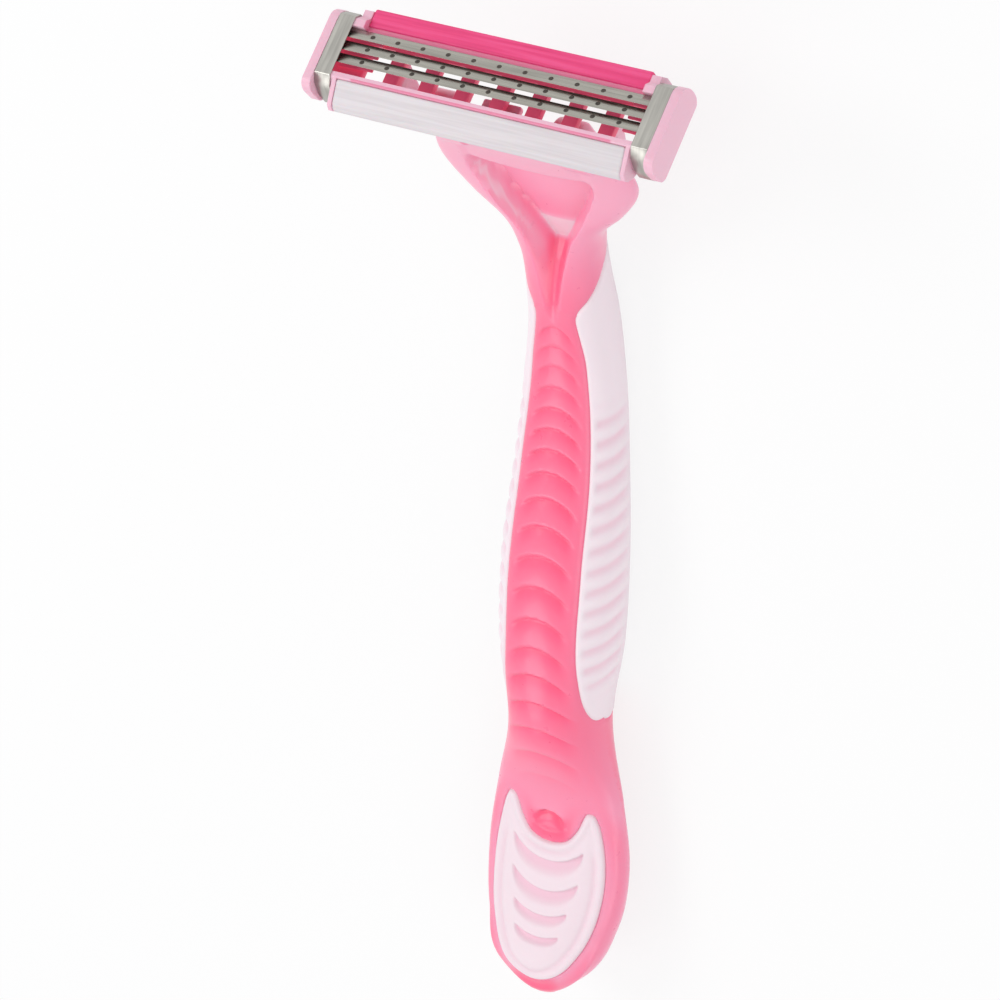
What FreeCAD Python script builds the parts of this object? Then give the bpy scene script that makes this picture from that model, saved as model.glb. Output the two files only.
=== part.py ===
"""Pivoting three-blade razor: moulded two-shot handle, yoke, spring tongue and sprung-blade head.

Frame: X runs along the blades, Y along the handle towards the head, Z out of the front (blade)
side.  The razor lies on its back on Z = 0.  Everything in the head is drawn in a head frame whose
origin is the middle of the face: x along the blades, y towards the lubricating strip and z out of
the face.  One Placement, head_tilt about X, puts that frame on the razor.
"""
import FreeCAD, Part
import math
import os

import Sketcher
from FreeCAD import Rotation, Vector

X_AXIS = Vector(1, 0, 0)

# Driving dimensions, in millimetres and degrees.
SIZES = {
    # where the head sits on the razor
    "head_y": 57.0,
    "head_z": 22.4,
    "head_tilt": 46.0,
    # end caps of the housing, drawn in the head frame
    "cap_half": 20.4,
    "cap_front_top": 3.3,
    "cap_shoulder": 4.2,
    "cap_top": 4.4,
    "cap_top_low": 4.2,
    "cap_back_top": 3.7,
    "cap_back_low": 4.4,
    "cap_tip": 5.2,
    "cap_chin": 5.35,
    "cap_front_low": 4.75,
    "cap_drop": 1.0,
    "cap_mid_drop": 2.5,
    "cap_tip_drop": 3.6,
    "housing_back": 4.0,
    # clip seats
    "seat_half": 19.4,
    "clip_in": 17.48,
    "clip_out": 19.37,
    "clip_thick": 0.2,
    "clip_front_top": 3.2,
    "clip_top": 4.0,
    "clip_top_drop": 0.9,
    "clip_front_low": 3.4,
    "clip_knee": 4.4,
    "clip_knee_drop": 1.0,
    "clip_heel": 4.9,
    "clip_heel_drop": 2.6,
    "clip_tuck_top": 2.4,
    "clip_tuck_low": 2.8,
    "clip_back_drop": 3.4,
    # middle of the housing: posts, strip seat, bay and guard seat
    "mid_half": 17.3,
    "post_front": 0.85,
    "post_top": 4.6,
    "wall_top": 5.05,
    "wall_top_drop": 2.0,
    "wall_back_drop": 3.3,
    "ledge_top": 2.95,
    "ledge_drop": 1.15,
    "bay_top": 2.4,
    "bay_low": 2.9,
    "bay_floor": 3.2,
    "bay_half": 18.95,
    "sill_drop": 0.35,
    "window_wide": 2.6,
    "window_pitch": 4.2,
    "window_top": 1.9,
    "window_low": 2.3,
    "window_count": 8,
    # lubricating strip
    "strip_half": 16.2,
    "strip_top": 5.0,
    "strip_front": 0.9,
    "strip_back": 2.0,
    # guard
    "guard_half": 16.85,
    "guard_top": 3.5,
    "guard_nose": 6.1,
    "guard_nose_drop": 1.5,
    "guard_tip": 6.4,
    "guard_tip_drop": 2.2,
    "guard_heel_drop": 2.9,
    "guard_root": 5.3,
    "guard_root_drop": 1.7,
    "lip_low": 5.3,
    "lip_drop": 3.6,
    # pivot
    "pivot_y": -1.7,
    "pivot_z": -6.6,
    "lug_in": 10.9,
    "lug_out": 12.4,
    "lug_radius": 2.3,
    "lug_root": 3.2,
    "bore_radius": 1.25,
    "journal_radius": 1.2,
    "journal_end": 12.2,
    "arm_out": 10.6,
    "arm_in": 6.8,
    "arm_radius": 2.0,
    "arm_foot": 12.0,
    "gap_radius": 6.8,
    # return tongue
    "tongue_thick": 0.9,
    "tongue_half_root": 3.2,
    "tongue_half_tip": 2.4,
    "tongue_root": 14.6,
    "tongue_tip": 4.05,
    "tongue_foot": 1.2,
    # blades
    "blade_count": 3,
    "blade_first": 1.07,
    "blade_pitch": 1.45,
    "blade_drop": 0.25,
    "blade_half": 18.7,
    "blade_wide": 1.3,
    "blade_thick": 0.1,
    "blade_bevel": 0.3,
    "blade_tilt": 22.0,
    "support_thick": 0.2,
    "support_start": 0.45,
    "support_bend": 1.1,
    "support_half": 18.5,
    "support_foot": 2.4,
    # blade springs
    "spring_tip": 14.6,
    "spring_heel": 15.4,
    "spring_wide": 0.7,
    "spring_thick": 0.35,
    "spring_gap": 0.03,
    # soft parts of the handle
    "sleeve_thick": 1.2,
    "pad_thick": 0.9,
    "pad_floor": 7.0,
    "groove_radius": 0.45,
    "back_flat": 0.0,
}

# Sections of the handle from tail to yoke: along, height, half width, half depth, lean.
STATIONS = {
    "tip": (-58.6, 9.8, 1.8, 1.0, 0),
    "toe": (-55.0, 9.0, 6.0, 3.5, 0),
    "sole": (-50.0, 7.2, 8.5, 3.8, 0),
    "ball": (-43.0, 5.9, 9.3, 3.8, 0),
    "arch": (-35.0, 5.6, 7.8, 4.1, 0),
    "waist": (-23.5, 6.0, 5.7, 5.5, 0),
    "palm": (-14.0, 6.0, 6.9, 5.9, 0),
    "belly": (-4.0, 5.6, 7.1, 5.6, 0),
    "thumb": (7.0, 4.6, 6.4, 4.7, 0),
    "index": (17.0, 4.2, 5.6, 4.2, 0),
    "throat": (25.0, 4.8, 4.7, 4.3, 8),
    "collar": (30.0, 6.2, 4.7, 3.9, 20),
    "neck": (34.5, 8.1, 5.2, 3.4, 27),
    "flare": (38.3, 10.4, 6.6, 3.0, 33),
    "lobe": (41.2, 12.2, 9.6, 2.7, 36),
    "wing": (44.6, 14.2, 11.7, 2.3, 40),
    "brow": (47.4, 16.2, 11.2, 2.0, 44),
    "crown": (48.9, 17.6, 10.5, 1.9, 44),
}
STATION_WORDS = ("along", "height", "wide", "deep", "lean")

# Half width of the hard front band where the soft sleeve stops, from tail to neck.
BAND = {
    "band_cuff": (-27.5, 7.6),
    "band_wrist": (-22.5, 5.5),
    "band_palm": (-16.0, 4.6),
    "band_belly": (-4.0, 4.5),
    "band_thumb": (9.0, 4.2),
    "band_index": (20.0, 3.3),
    "band_throat": (28.5, 2.5),
    "band_collar": (32.0, 3.6),
    "band_neck": (36.0, 6.5),
}

# Outline of the tail pad on one side, from the notch between its horns round to its foot.
PAD = {
    "pad_notch": (0.0, -39.0),
    "pad_crook": (3.6, -36.8),
    "pad_horn": (5.4, -35.1),
    "pad_brow": (6.7, -37.4),
    "pad_side": (7.5, -43.0),
    "pad_hip": (6.6, -49.5),
    "pad_foot": (0.0, -55.0),
}

# Curved grooves in the pad: middle of the curve along the handle, half chord and rise.
GROOVES = {
    "groove_1": (-43.0, 4.3, 3.0),
    "groove_2": (-46.3, 4.3, 2.9),
    "groove_3": (-48.8, 3.4, 1.7),
    "groove_4": (-51.2, 2.7, 1.2),
}


def write_sheet(doc):
    """Put every driving dimension in a spreadsheet, one alias a row."""
    sheet = doc.addObject("Spreadsheet::Sheet", "sizes")
    cells = dict(SIZES)
    for name, numbers in STATIONS.items():
        for word, number in zip(STATION_WORDS, numbers):
            cells[name + "_" + word] = number
    for name, (along, half) in BAND.items():
        cells[name + "_along"] = along
        cells[name + "_half"] = half
    for name, (across, along) in PAD.items():
        cells[name + "_across"] = across
        cells[name + "_along"] = along
    for name, (along, chord, rise) in GROOVES.items():
        cells[name + "_along"] = along
        cells[name + "_chord"] = chord
        cells[name + "_rise"] = rise
    for row, (alias, number) in enumerate(cells.items(), start=1):
        sheet.set("A%d" % row, alias)
        sheet.set("B%d" % row, str(number))
        sheet.setAlias("B%d" % row, alias)
    doc.recompute()
    return sheet


# ---------------------------------------------------------------- words to numbers and expressions

def measure(sheet, words):
    """Value of a sum of aliases such as '- bay_floor + clip_thick'; '0' stands for nothing."""
    total = 0.0
    sign = 1
    for word in words.split():
        if word in ("+", "-"):
            sign = 1 if word == "+" else -1
        elif word != "0":
            total += sign * sheet.get(word)
            sign = 1
    return total


def expression(words):
    """The same sum as a FreeCAD expression on the sheet."""
    parts = [word if word in ("+", "-", "0") else "sizes." + word for word in words.split()]
    return " ".join(parts)


def head_place(sheet, across=0.0, up=0.0, out=0.0, turn=0.0):
    """Placement of something drawn in the head frame, moved and turned about X inside it first."""
    head = FreeCAD.Placement(
        Vector(0, sheet.head_y, sheet.head_z), Rotation(X_AXIS, -sheet.head_tilt)
    )
    return head * FreeCAD.Placement(Vector(across, up, out), Rotation(X_AXIS, turn))


# ------------------------------------------------------------------------------ drawing helpers

def new_body(doc, name):
    body = doc.addObject("PartDesign::Body", name)
    body.Label = name
    return body


def origin_plane(body, role):
    for feature in body.Origin.OriginFeatures:
        if feature.Role == role:
            return feature
    raise ValueError(role)


def draw(sketch, sheet, corners, closed=True):
    """Join the corners with lines and tie each corner to the sheet, measured from the origin."""
    points = [Vector(measure(sheet, a), measure(sheet, b), 0) for a, b in corners]
    count = len(points) if closed else len(points) - 1
    first = sketch.GeometryCount
    for i in range(count):
        sketch.addGeometry(Part.LineSegment(points[i], points[(i + 1) % len(points)]), False)
    for i in range(count - 1 + int(closed)):
        follower = first + (i + 1) % count
        sketch.addConstraint(Sketcher.Constraint("Coincident", first + i, 2, follower, 1))
    for i, (a, b) in enumerate(corners):
        geometry, end = (first + i, 1) if i < count else (first + i - 1, 2)
        for kind, words, value in (("DistanceX", a, points[i].x), ("DistanceY", b, points[i].y)):
            if words == "0":
                fixed = "PointOnObject"
                axis = -2 if kind == "DistanceX" else -1
                sketch.addConstraint(Sketcher.Constraint(fixed, geometry, end, axis))
                continue
            index = sketch.addConstraint(
                Sketcher.Constraint(kind, -1, 1, geometry, end, value)
            )
            sketch.setExpression("Constraints[%d]" % index, expression(words))


def side_sketch(body, sheet, name, corners):
    """Closed outline on the body's YZ plane: first y, then z."""
    sketch = body.newObject("Sketcher::SketchObject", name)
    sketch.AttachmentSupport = [(origin_plane(body, "YZ_Plane"), "")]
    sketch.MapMode = "FlatFace"
    draw(sketch, sheet, corners)
    return sketch


def across(body, kind, sketch, name, half):
    """Pad or pocket an outline both ways along X to the given half length."""
    feature = body.newObject("PartDesign::" + kind, name)
    feature.Profile = sketch
    feature.Midplane = True
    feature.setExpression("Length", "2 * sizes." + half)
    return feature


# ------------------------------------------------------------------------------ head: housing

def cap_outline():
    """Side view of the whole housing end: flat front, round top, flat back, pointed chin."""
    return [
        ("cap_front_top", "0"),
        ("cap_shoulder", "- cap_drop"),
        ("cap_top", "- cap_mid_drop"),
        ("cap_top_low", "- cap_tip_drop"),
        ("cap_back_top", "- housing_back"),
        ("- cap_back_low", "- housing_back"),
        ("- cap_tip", "- cap_tip_drop"),
        ("- cap_chin", "- cap_drop"),
        ("- cap_front_low", "0"),
    ]


def clip_seat_outline():
    """Everything in front of and round the housing that a clip needs free."""
    reach = "cap_chin + cap_chin"
    return [
        ("- " + reach.replace("+", "-"), "- housing_back"),
        ("- " + reach.replace("+", "-"), "cap_drop"),
        (reach, "cap_drop"),
        (reach, "- housing_back"),
        ("clip_top - clip_thick", "- housing_back"),
        ("clip_top - clip_thick", "- clip_top_drop"),
        ("clip_front_top", "- clip_thick"),
        ("- clip_front_low", "- clip_thick"),
        ("- clip_knee + clip_thick", "- clip_knee_drop"),
        ("- clip_heel + clip_thick", "- clip_heel_drop"),
        ("- clip_heel + clip_thick", "- housing_back"),
    ]


def mid_outline():
    """Side view of the housing between the clips, still solid: posts, wall, back and guard lip."""
    return [
        ("bay_top", "- post_front"),
        ("post_top", "- post_front"),
        ("wall_top", "- wall_top_drop"),
        ("wall_top", "- wall_back_drop"),
        ("cap_back_top", "- housing_back"),
        ("- cap_back_low", "- housing_back"),
        ("- guard_root", "- lip_drop"),
        ("- guard_nose", "- guard_heel_drop"),
        ("- guard_tip", "- guard_tip_drop"),
        ("- guard_nose", "- guard_nose_drop"),
        ("- guard_top", "- sill_drop"),
        ("- bay_low", "- sill_drop"),
    ]


def lug_sketch(body, sheet):
    """Two pivot lugs in side view: a tapered root ending round the pivot."""
    sketch = body.newObject("Sketcher::SketchObject", "lug_outline")
    sketch.AttachmentSupport = [(origin_plane(body, "YZ_Plane"), "")]
    sketch.MapMode = "FlatFace"
    draw(sketch, sheet, [
        ("pivot_y - lug_radius", "pivot_z"),
        ("pivot_y - lug_root", "- bay_floor"),
        ("pivot_y + lug_root", "- bay_floor"),
        ("pivot_y + lug_radius", "pivot_z"),
        ("pivot_y", "pivot_z - lug_radius"),
    ])
    return sketch


def round_sketch(body, sheet, name, radius):
    """Circle round the pivot axis in side view."""
    sketch = body.newObject("Sketcher::SketchObject", name)
    sketch.AttachmentSupport = [(origin_plane(body, "YZ_Plane"), "")]
    sketch.MapMode = "FlatFace"
    middle = Vector(sheet.pivot_y, sheet.pivot_z, 0)
    sketch.addGeometry(Part.Circle(middle, Vector(0, 0, 1), sheet.get(radius)), False)
    for kind, alias in (("DistanceX", "pivot_y"), ("DistanceY", "pivot_z")):
        index = sketch.addConstraint(Sketcher.Constraint(kind, -1, 1, 0, 3, sheet.get(alias)))
        sketch.setExpression("Constraints[%d]" % index, "sizes." + alias)
    index = sketch.addConstraint(Sketcher.Constraint("Radius", 0, sheet.get(radius)))
    sketch.setExpression("Constraints[%d]" % index, "sizes." + radius)
    return sketch


def cut_windows(body, sheet):
    """Row of wash-through windows in the floor of the bay."""
    sketch = body.newObject("Sketcher::SketchObject", "window_outline")
    sketch.AttachmentSupport = [(origin_plane(body, "XY_Plane"), "")]
    sketch.MapMode = "FlatFace"
    shift = (sheet.window_count - 1) * sheet.window_pitch / 2
    left = -shift - sheet.window_wide / 2
    right = -shift + sheet.window_wide / 2
    low = -sheet.window_low
    top = sheet.window_top
    corners = [Vector(left, low), Vector(right, low), Vector(right, top), Vector(left, top)]
    for i in range(4):
        sketch.addGeometry(Part.LineSegment(corners[i], corners[(i + 1) % 4]), False)
    for i in range(4):
        sketch.addConstraint(Sketcher.Constraint("Coincident", i, 2, (i + 1) % 4, 1))
    for i, kind in enumerate(("Horizontal", "Vertical", "Horizontal", "Vertical")):
        sketch.addConstraint(Sketcher.Constraint(kind, i))
    half_row = "(sizes.window_count - 1) * sizes.window_pitch / 2"
    for kind, line, value, words in (
        ("DistanceX", 0, left, "-%s - sizes.window_wide / 2" % half_row),
        ("DistanceX", 1, right, "-%s + sizes.window_wide / 2" % half_row),
        ("DistanceY", 0, low, "-sizes.window_low"),
        ("DistanceY", 2, top, "sizes.window_top"),
    ):
        index = sketch.addConstraint(Sketcher.Constraint(kind, -1, 1, line, 1, value))
        sketch.setExpression("Constraints[%d]" % index, words)
    pocket = body.newObject("PartDesign::Pocket", "first_window")
    pocket.Profile = sketch
    pocket.Type = "ThroughAll"
    pattern = body.newObject("PartDesign::LinearPattern", "window_row")
    pattern.Originals = [pocket]
    pattern.Direction = (sketch, ["H_Axis"])
    pattern.setExpression("Length", "(sizes.window_count - 1) * sizes.window_pitch")
    pattern.setExpression("Occurrences", "sizes.window_count")
    body.Tip = pattern


def make_cartridge_frame(doc, sheet):
    """Hard housing of the head, built outwards from the pivot lugs."""
    body = new_body(doc, "cartridge_frame")
    across(body, "Pad", lug_sketch(body, sheet), "lugs", "lug_out")
    across(body, "Pad", round_sketch(body, sheet, "lug_round", "lug_radius"), "eyes", "lug_out")
    between = side_sketch(body, sheet, "between_lugs", [
        ("pivot_y - lug_root", "pivot_z - lug_root"),
        ("pivot_y + lug_root", "pivot_z - lug_root"),
        ("pivot_y + lug_root", "cap_drop"),
        ("pivot_y - lug_root", "cap_drop"),
    ])
    across(body, "Pocket", between, "lug_gap", "lug_in")
    across(body, "Pocket", round_sketch(body, sheet, "bore", "bore_radius"), "bores", "lug_out")
    across(body, "Pad", side_sketch(body, sheet, "caps", cap_outline()), "end_caps", "cap_half")
    seat = side_sketch(body, sheet, "clip_seat", clip_seat_outline())
    across(body, "Pocket", seat, "clip_seats", "seat_half")
    across(body, "Pad", side_sketch(body, sheet, "mid", mid_outline()), "middle", "mid_half")
    strip_room = side_sketch(body, sheet, "strip_room", [
        ("ledge_top", "cap_drop"),
        ("ledge_top", "- strip_back"),
        ("cap_chin", "- strip_back"),
        ("cap_chin", "cap_drop"),
    ])
    across(body, "Pocket", strip_room, "strip_seat", "strip_half")
    guard_room = side_sketch(body, sheet, "guard_room", [
        ("- guard_top", "cap_drop"),
        ("- guard_top", "- guard_root_drop"),
        ("- guard_root", "- guard_heel_drop"),
        ("- guard_tip - cap_drop", "- guard_heel_drop"),
        ("- guard_tip - cap_drop", "cap_drop"),
    ])
    across(body, "Pocket", guard_room, "guard_seat", "guard_half")
    ledge = side_sketch(body, sheet, "ledge_room", [
        ("bay_top", "cap_drop"),
        ("bay_top", "- ledge_drop"),
        ("ledge_top", "- ledge_drop"),
        ("ledge_top", "cap_drop"),
    ])
    across(body, "Pocket", ledge, "ledge", "strip_half")
    bay = side_sketch(body, sheet, "bay_room", [
        ("- bay_low", "cap_drop"),
        ("- bay_low", "- bay_floor"),
        ("bay_top", "- bay_floor"),
        ("bay_top", "cap_drop"),
    ])
    across(body, "Pocket", bay, "bay", "bay_half")
    doc.recompute()
    cut_windows(body, sheet)
    body.Placement = head_place(sheet)
    return [body]


# ------------------------------------------------------------------- head: strip, guard and clips

def make_lubricating_strip(doc, sheet):
    """Flat bar let into the top of the housing."""
    body = new_body(doc, "lubricating_strip")
    outline = side_sketch(body, sheet, "strip_outline", [
        ("ledge_top", "- strip_front"),
        ("ledge_top", "- strip_back"),
        ("strip_top", "- strip_back"),
        ("strip_top", "- strip_front"),
    ])
    across(body, "Pad", outline, "strip_bar", "strip_half")
    body.Placement = head_place(sheet)
    return [body]


def make_guard_strip(doc, sheet):
    """Soft bar in front of the lowest blade, with a rounded nose."""
    body = new_body(doc, "guard_strip")
    outline = side_sketch(body, sheet, "guard_outline", [
        ("- guard_top", "- sill_drop"),
        ("- guard_nose", "- guard_nose_drop"),
        ("- guard_tip", "- guard_tip_drop"),
        ("- guard_nose", "- guard_heel_drop"),
        ("- guard_root", "- guard_heel_drop"),
        ("- guard_top", "- guard_root_drop"),
    ])
    across(body, "Pad", outline, "guard_bar", "guard_half")
    body.Placement = head_place(sheet)
    return [body]


def bent_sheet(doc, sheet, name, corners, thick, half):
    """Sheet metal bent along a side-view path: the path thickened, then extruded along X."""
    path = doc.addObject("Sketcher::SketchObject", name + "_path")
    draw(path, sheet, corners, closed=False)
    doc.recompute()
    ribbon = doc.addObject("Part::Offset2D", name + "_ribbon")
    ribbon.Source = path
    ribbon.Mode = "Skin"
    ribbon.Join = "Intersection"
    ribbon.Fill = True
    ribbon.setExpression("Value", "sizes." + thick)
    solid = doc.addObject("Part::Extrusion", name)
    solid.Base = ribbon
    solid.DirMode = "Custom"
    solid.Dir = Vector(0, 0, 1)
    solid.Solid = True
    solid.Symmetric = True
    solid.setExpression("LengthFwd", half)
    solid.Label = name
    return solid


# A side-view path is drawn with y to the right and z up, so its extrusion is turned to run along X.
SIDE_VIEW = FreeCAD.Placement(Vector(), Rotation(Vector(0, 1, 0), Vector(0, 0, 1), X_AXIS, "XYZ"))


def make_clip(doc, sheet, name, side):
    """Metal band round one end of the housing, tucked in behind it; the path is its inner face."""
    clip = bent_sheet(doc, sheet, name, [
        ("clip_tuck_top", "- housing_back"),
        ("clip_top - clip_thick", "- housing_back"),
        ("clip_top - clip_thick", "- clip_top_drop"),
        ("clip_front_top", "- clip_thick"),
        ("- clip_front_low", "- clip_thick"),
        ("- clip_knee + clip_thick", "- clip_knee_drop"),
        ("- clip_heel + clip_thick", "- clip_heel_drop"),
        ("- clip_heel + clip_thick", "- housing_back"),
        ("- clip_tuck_low", "- housing_back"),
    ], "clip_thick", "sizes.clip_out - sizes.clip_in")
    middle = side * (sheet.clip_in + sheet.clip_out) / 2
    clip.Placement = head_place(sheet, across=middle) * SIDE_VIEW
    return [clip]


# ----------------------------------------------------------------------------------- head: blades

def blade_edge(sheet, number):
    """Place of the cutting edge of one blade in the head frame: y, then z."""
    return sheet.blade_first - (number - 1) * sheet.blade_pitch, -sheet.blade_drop


def make_blade(doc, sheet, number):
    """Thin steel strip with its edge towards the guard, sinking towards the strip side."""
    body = new_body(doc, "blade_%d" % number)
    half_thick = sheet.blade_thick / 2
    corners = [
        Vector(0, 0),
        Vector(sheet.blade_bevel, half_thick),
        Vector(sheet.blade_wide, half_thick),
        Vector(sheet.blade_wide, -half_thick),
        Vector(sheet.blade_bevel, -half_thick),
    ]
    sketch = body.newObject("Sketcher::SketchObject", "blade_outline_%d" % number)
    sketch.AttachmentSupport = [(origin_plane(body, "YZ_Plane"), "")]
    sketch.MapMode = "FlatFace"
    for i in range(len(corners)):
        sketch.addGeometry(Part.LineSegment(corners[i], corners[(i + 1) % len(corners)]), False)
    for i in range(len(corners)):
        sketch.addConstraint(Sketcher.Constraint("Coincident", i, 2, (i + 1) % len(corners), 1))
    sketch.addConstraint(Sketcher.Constraint("Coincident", 0, 1, -1, 1))
    for kind, line, value, words in (
        ("DistanceX", 1, sheet.blade_bevel, "sizes.blade_bevel"),
        ("DistanceY", 1, half_thick, "sizes.blade_thick / 2"),
        ("DistanceX", 2, sheet.blade_wide, "sizes.blade_wide"),
        ("DistanceY", 2, half_thick, "sizes.blade_thick / 2"),
        ("DistanceX", 3, sheet.blade_wide, "sizes.blade_wide"),
        ("DistanceY", 3, -half_thick, "-sizes.blade_thick / 2"),
        ("DistanceX", 4, sheet.blade_bevel, "sizes.blade_bevel"),
        ("DistanceY", 4, -half_thick, "-sizes.blade_thick / 2"),
    ):
        index = sketch.addConstraint(Sketcher.Constraint(kind, -1, 1, line, 1, value))
        sketch.setExpression("Constraints[%d]" % index, words)
    across(body, "Pad", sketch, "blade_strip_%d" % number, "blade_half")
    edge_y, edge_z = blade_edge(sheet, number)
    body.Placement = head_place(sheet, up=edge_y, out=edge_z, turn=-sheet.blade_tilt)
    return [body]


def support_path(sheet):
    """Middle line of the bent carrier, from the cutting edge: along the strip, then straight in."""
    lean = math.radians(sheet.blade_tilt)
    sunk = (sheet.blade_thick + sheet.support_thick) / 2
    start, bend = [
        Vector(
            reach * math.cos(lean) - sunk * math.sin(lean),
            -reach * math.sin(lean) - sunk * math.cos(lean),
        )
        for reach in (sheet.support_start, sheet.support_bend)
    ]
    foot = Vector(bend.x, sheet.blade_drop - sheet.support_foot)
    return start, bend, foot


def make_blade_support(doc, sheet, number):
    """Bent steel carrier welded under the blade; its leg stands on the springs."""
    end = Vector(0, 0, sheet.support_half)
    path = Part.makePolygon([corner - end for corner in support_path(sheet)])
    ribbon = path.makeOffset2D(sheet.support_thick / 2, 2, True, True, False)
    bar = ribbon.extrude(end * 2)
    support = doc.addObject("Part::Feature", "blade_support_%d" % number)
    support.Label = support.Name
    support.Shape = bar
    edge_y, edge_z = blade_edge(sheet, number)
    support.Placement = head_place(sheet, up=edge_y, out=edge_z) * SIDE_VIEW
    return [support]


def make_blade_spring(doc, sheet, word, side, number):
    """Sprung finger that rises from the end wall to the foot of one carrier."""
    name = "blade_spring_%s_%d" % (word, number)
    floor = -sheet.bay_floor
    top = -sheet.support_foot - sheet.spring_gap
    thick = sheet.spring_thick
    wall = sheet.bay_half
    outline = [
        Vector(side * wall, 0, floor),
        Vector(side * wall, 0, floor + thick),
        Vector(side * sheet.spring_heel, 0, top),
        Vector(side * sheet.spring_tip, 0, top),
        Vector(side * sheet.spring_tip, 0, top - thick),
        Vector(side * sheet.spring_heel, 0, top - thick),
    ]
    face = Part.Face(Part.makePolygon(outline + outline[:1]))
    finger = face.extrude(Vector(0, sheet.spring_wide, 0))
    spring = doc.addObject("Part::Feature", name)
    spring.Label = name
    spring.Shape = finger
    leg = support_path(sheet)[1].x
    edge_y = blade_edge(sheet, number)[0]
    spring.Placement = head_place(sheet, up=edge_y + leg - sheet.spring_wide / 2)
    return [spring]


# ------------------------------------------------------------------------------------- the handle

def section(sheet, name, inset=0.0):
    """Closed rounded section of the handle at one station, standing square to its centre line."""
    along, height, wide, deep, lean = [sheet.get(name + "_" + word) for word in STATION_WORDS]
    wide -= inset
    deep -= inset
    lean = math.radians(lean)
    squareness = 2.3
    points = []
    for step in range(24):
        angle = 2 * math.pi * step / 24
        cosine, sine = math.cos(angle), math.sin(angle)
        x = wide * math.copysign(abs(cosine) ** (2 / squareness), cosine)
        rise = deep * math.copysign(abs(sine) ** (2 / squareness), sine)
        points.append(Vector(x, along - rise * math.sin(lean), height + rise * math.cos(lean)))
    curve = Part.BSplineCurve()
    curve.interpolate(points, PeriodicFlag=True)
    return Part.Wire(curve.toShape())


def handle_blank(sheet, inset=0.0):
    """The handle's outer form, or the same form with its skin taken off, cut flat on the back."""
    blank = Part.makeLoft([section(sheet, name, inset) for name in STATIONS], True)
    below = Part.makeBox(60, 140, 20, Vector(-30, -70, sheet.back_flat + inset - 20))
    return blank.cut(below)


def plan_prism(outline, low, high):
    """Solid standing on a closed plan outline."""
    curve = Part.BSplineCurve()
    curve.interpolate([Vector(x, y, low) for x, y in outline], PeriodicFlag=True)
    face = Part.Face(Part.Wire(curve.toShape()))
    return face.extrude(Vector(0, 0, high - low))


def front_band(sheet):
    """Prism over the strip of hard front that the soft sleeve leaves bare."""
    side = [(sheet.get(name + "_half"), sheet.get(name + "_along")) for name in BAND]
    outline = side + [(-half, along) for half, along in reversed(side)]
    return plan_prism(outline, sheet.belly_height, 40)


def sleeve_reach(sheet):
    """Side-view block that the sleeve stays in: a round lower end and a slanted upper one."""
    low, mid, high = -10, sheet.palm_height - 0.5, 40
    round_end = -19.0
    tip = -24.3
    corners = [
        Vector(0, round_end, high),
        Vector(0, 26.0, high),
        Vector(0, 27.0, 9.0),
        Vector(0, 35.5, 5.0),
        Vector(0, 35.5, low),
        Vector(0, round_end, low),
    ]
    lines = [Part.LineSegment(corners[i], corners[i + 1]).toShape() for i in range(5)]
    bottom = Part.LineSegment(corners[5], Vector(0, round_end, mid - 5.5)).toShape()
    end = Part.Arc(
        Vector(0, round_end, mid - 5.5), Vector(0, tip, mid), Vector(0, round_end, mid + 5.5)
    ).toShape()
    top = Part.LineSegment(Vector(0, round_end, mid + 5.5), corners[0]).toShape()
    wire = Part.Wire(lines + [bottom, end, top])
    block = Part.Face(wire).extrude(Vector(40, 0, 0))
    block.translate(Vector(-20, 0, 0))
    return block


def sleeve_solid(sheet, blank):
    """Soft skin over the back and both sides of the grip."""
    skin = blank.cut(handle_blank(sheet, sheet.sleeve_thick))
    return skin.common(sleeve_reach(sheet)).cut(front_band(sheet))


def pad_outline(sheet):
    """Crescent in plan: down one side from the notch to the foot and back up the other."""
    side = [(sheet.get(name + "_across"), sheet.get(name + "_along")) for name in PAD]
    return side + [(-x, y) for x, y in reversed(side[1:-1])]


def pad_grooves(sheet):
    """Round-bottomed smile grooves that follow the rising front of the tail."""
    cutters = []
    front = {name: sheet.get(name + "_height") + sheet.get(name + "_deep") for name in STATIONS}
    fall = (front["sole"] - front["ball"]) / (sheet.sole_along - sheet.ball_along)
    for name in GROOVES:
        along = sheet.get(name + "_along")
        chord = sheet.get(name + "_chord")
        rise = sheet.get(name + "_rise")
        radius = (chord ** 2 + rise ** 2) / (2 * rise)
        centre = Vector(0, along + radius, front["ball"] + fall * (along + radius - sheet.ball_along))
        ring = Part.makeTorus(radius, sheet.groove_radius, centre, Vector(0, -fall, 1))
        window = Part.makeBox(2 * chord, rise + 1, 10, Vector(-chord, along - 1, centre.z - 5))
        cutters.append(ring.common(window))
    return cutters


def pad_solid(sheet, blank):
    """Soft pad let into the front of the tail, before its grooves."""
    skin = blank.cut(handle_blank(sheet, sheet.pad_thick))
    return skin.common(plan_prism(pad_outline(sheet), sheet.pad_floor, 40))


def yoke_arms(sheet):
    """Two arms with round ends and outward journals, drawn in the head frame."""
    axis = Vector(0, sheet.pivot_y, sheet.pivot_z)
    arms = []
    for side in (-1, 1):
        inner = axis + Vector(side * sheet.arm_in, 0, 0)
        outward = Vector(side, 0, 0)
        width = sheet.arm_out - sheet.arm_in
        eye = Part.makeCylinder(sheet.arm_radius, width, inner, outward)
        start = min(side * sheet.arm_in, side * sheet.arm_out)
        foot = -sheet.arm_foot
        post = Part.makeBox(
            width, 2 * sheet.arm_radius, sheet.pivot_z - foot,
            Vector(start, sheet.pivot_y - sheet.arm_radius, foot),
        )
        reach = sheet.journal_end - sheet.arm_in
        journal = Part.makeCylinder(sheet.journal_radius, reach, inner, outward)
        arms.append(eye.fuse([post, journal]))
    return arms


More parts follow.
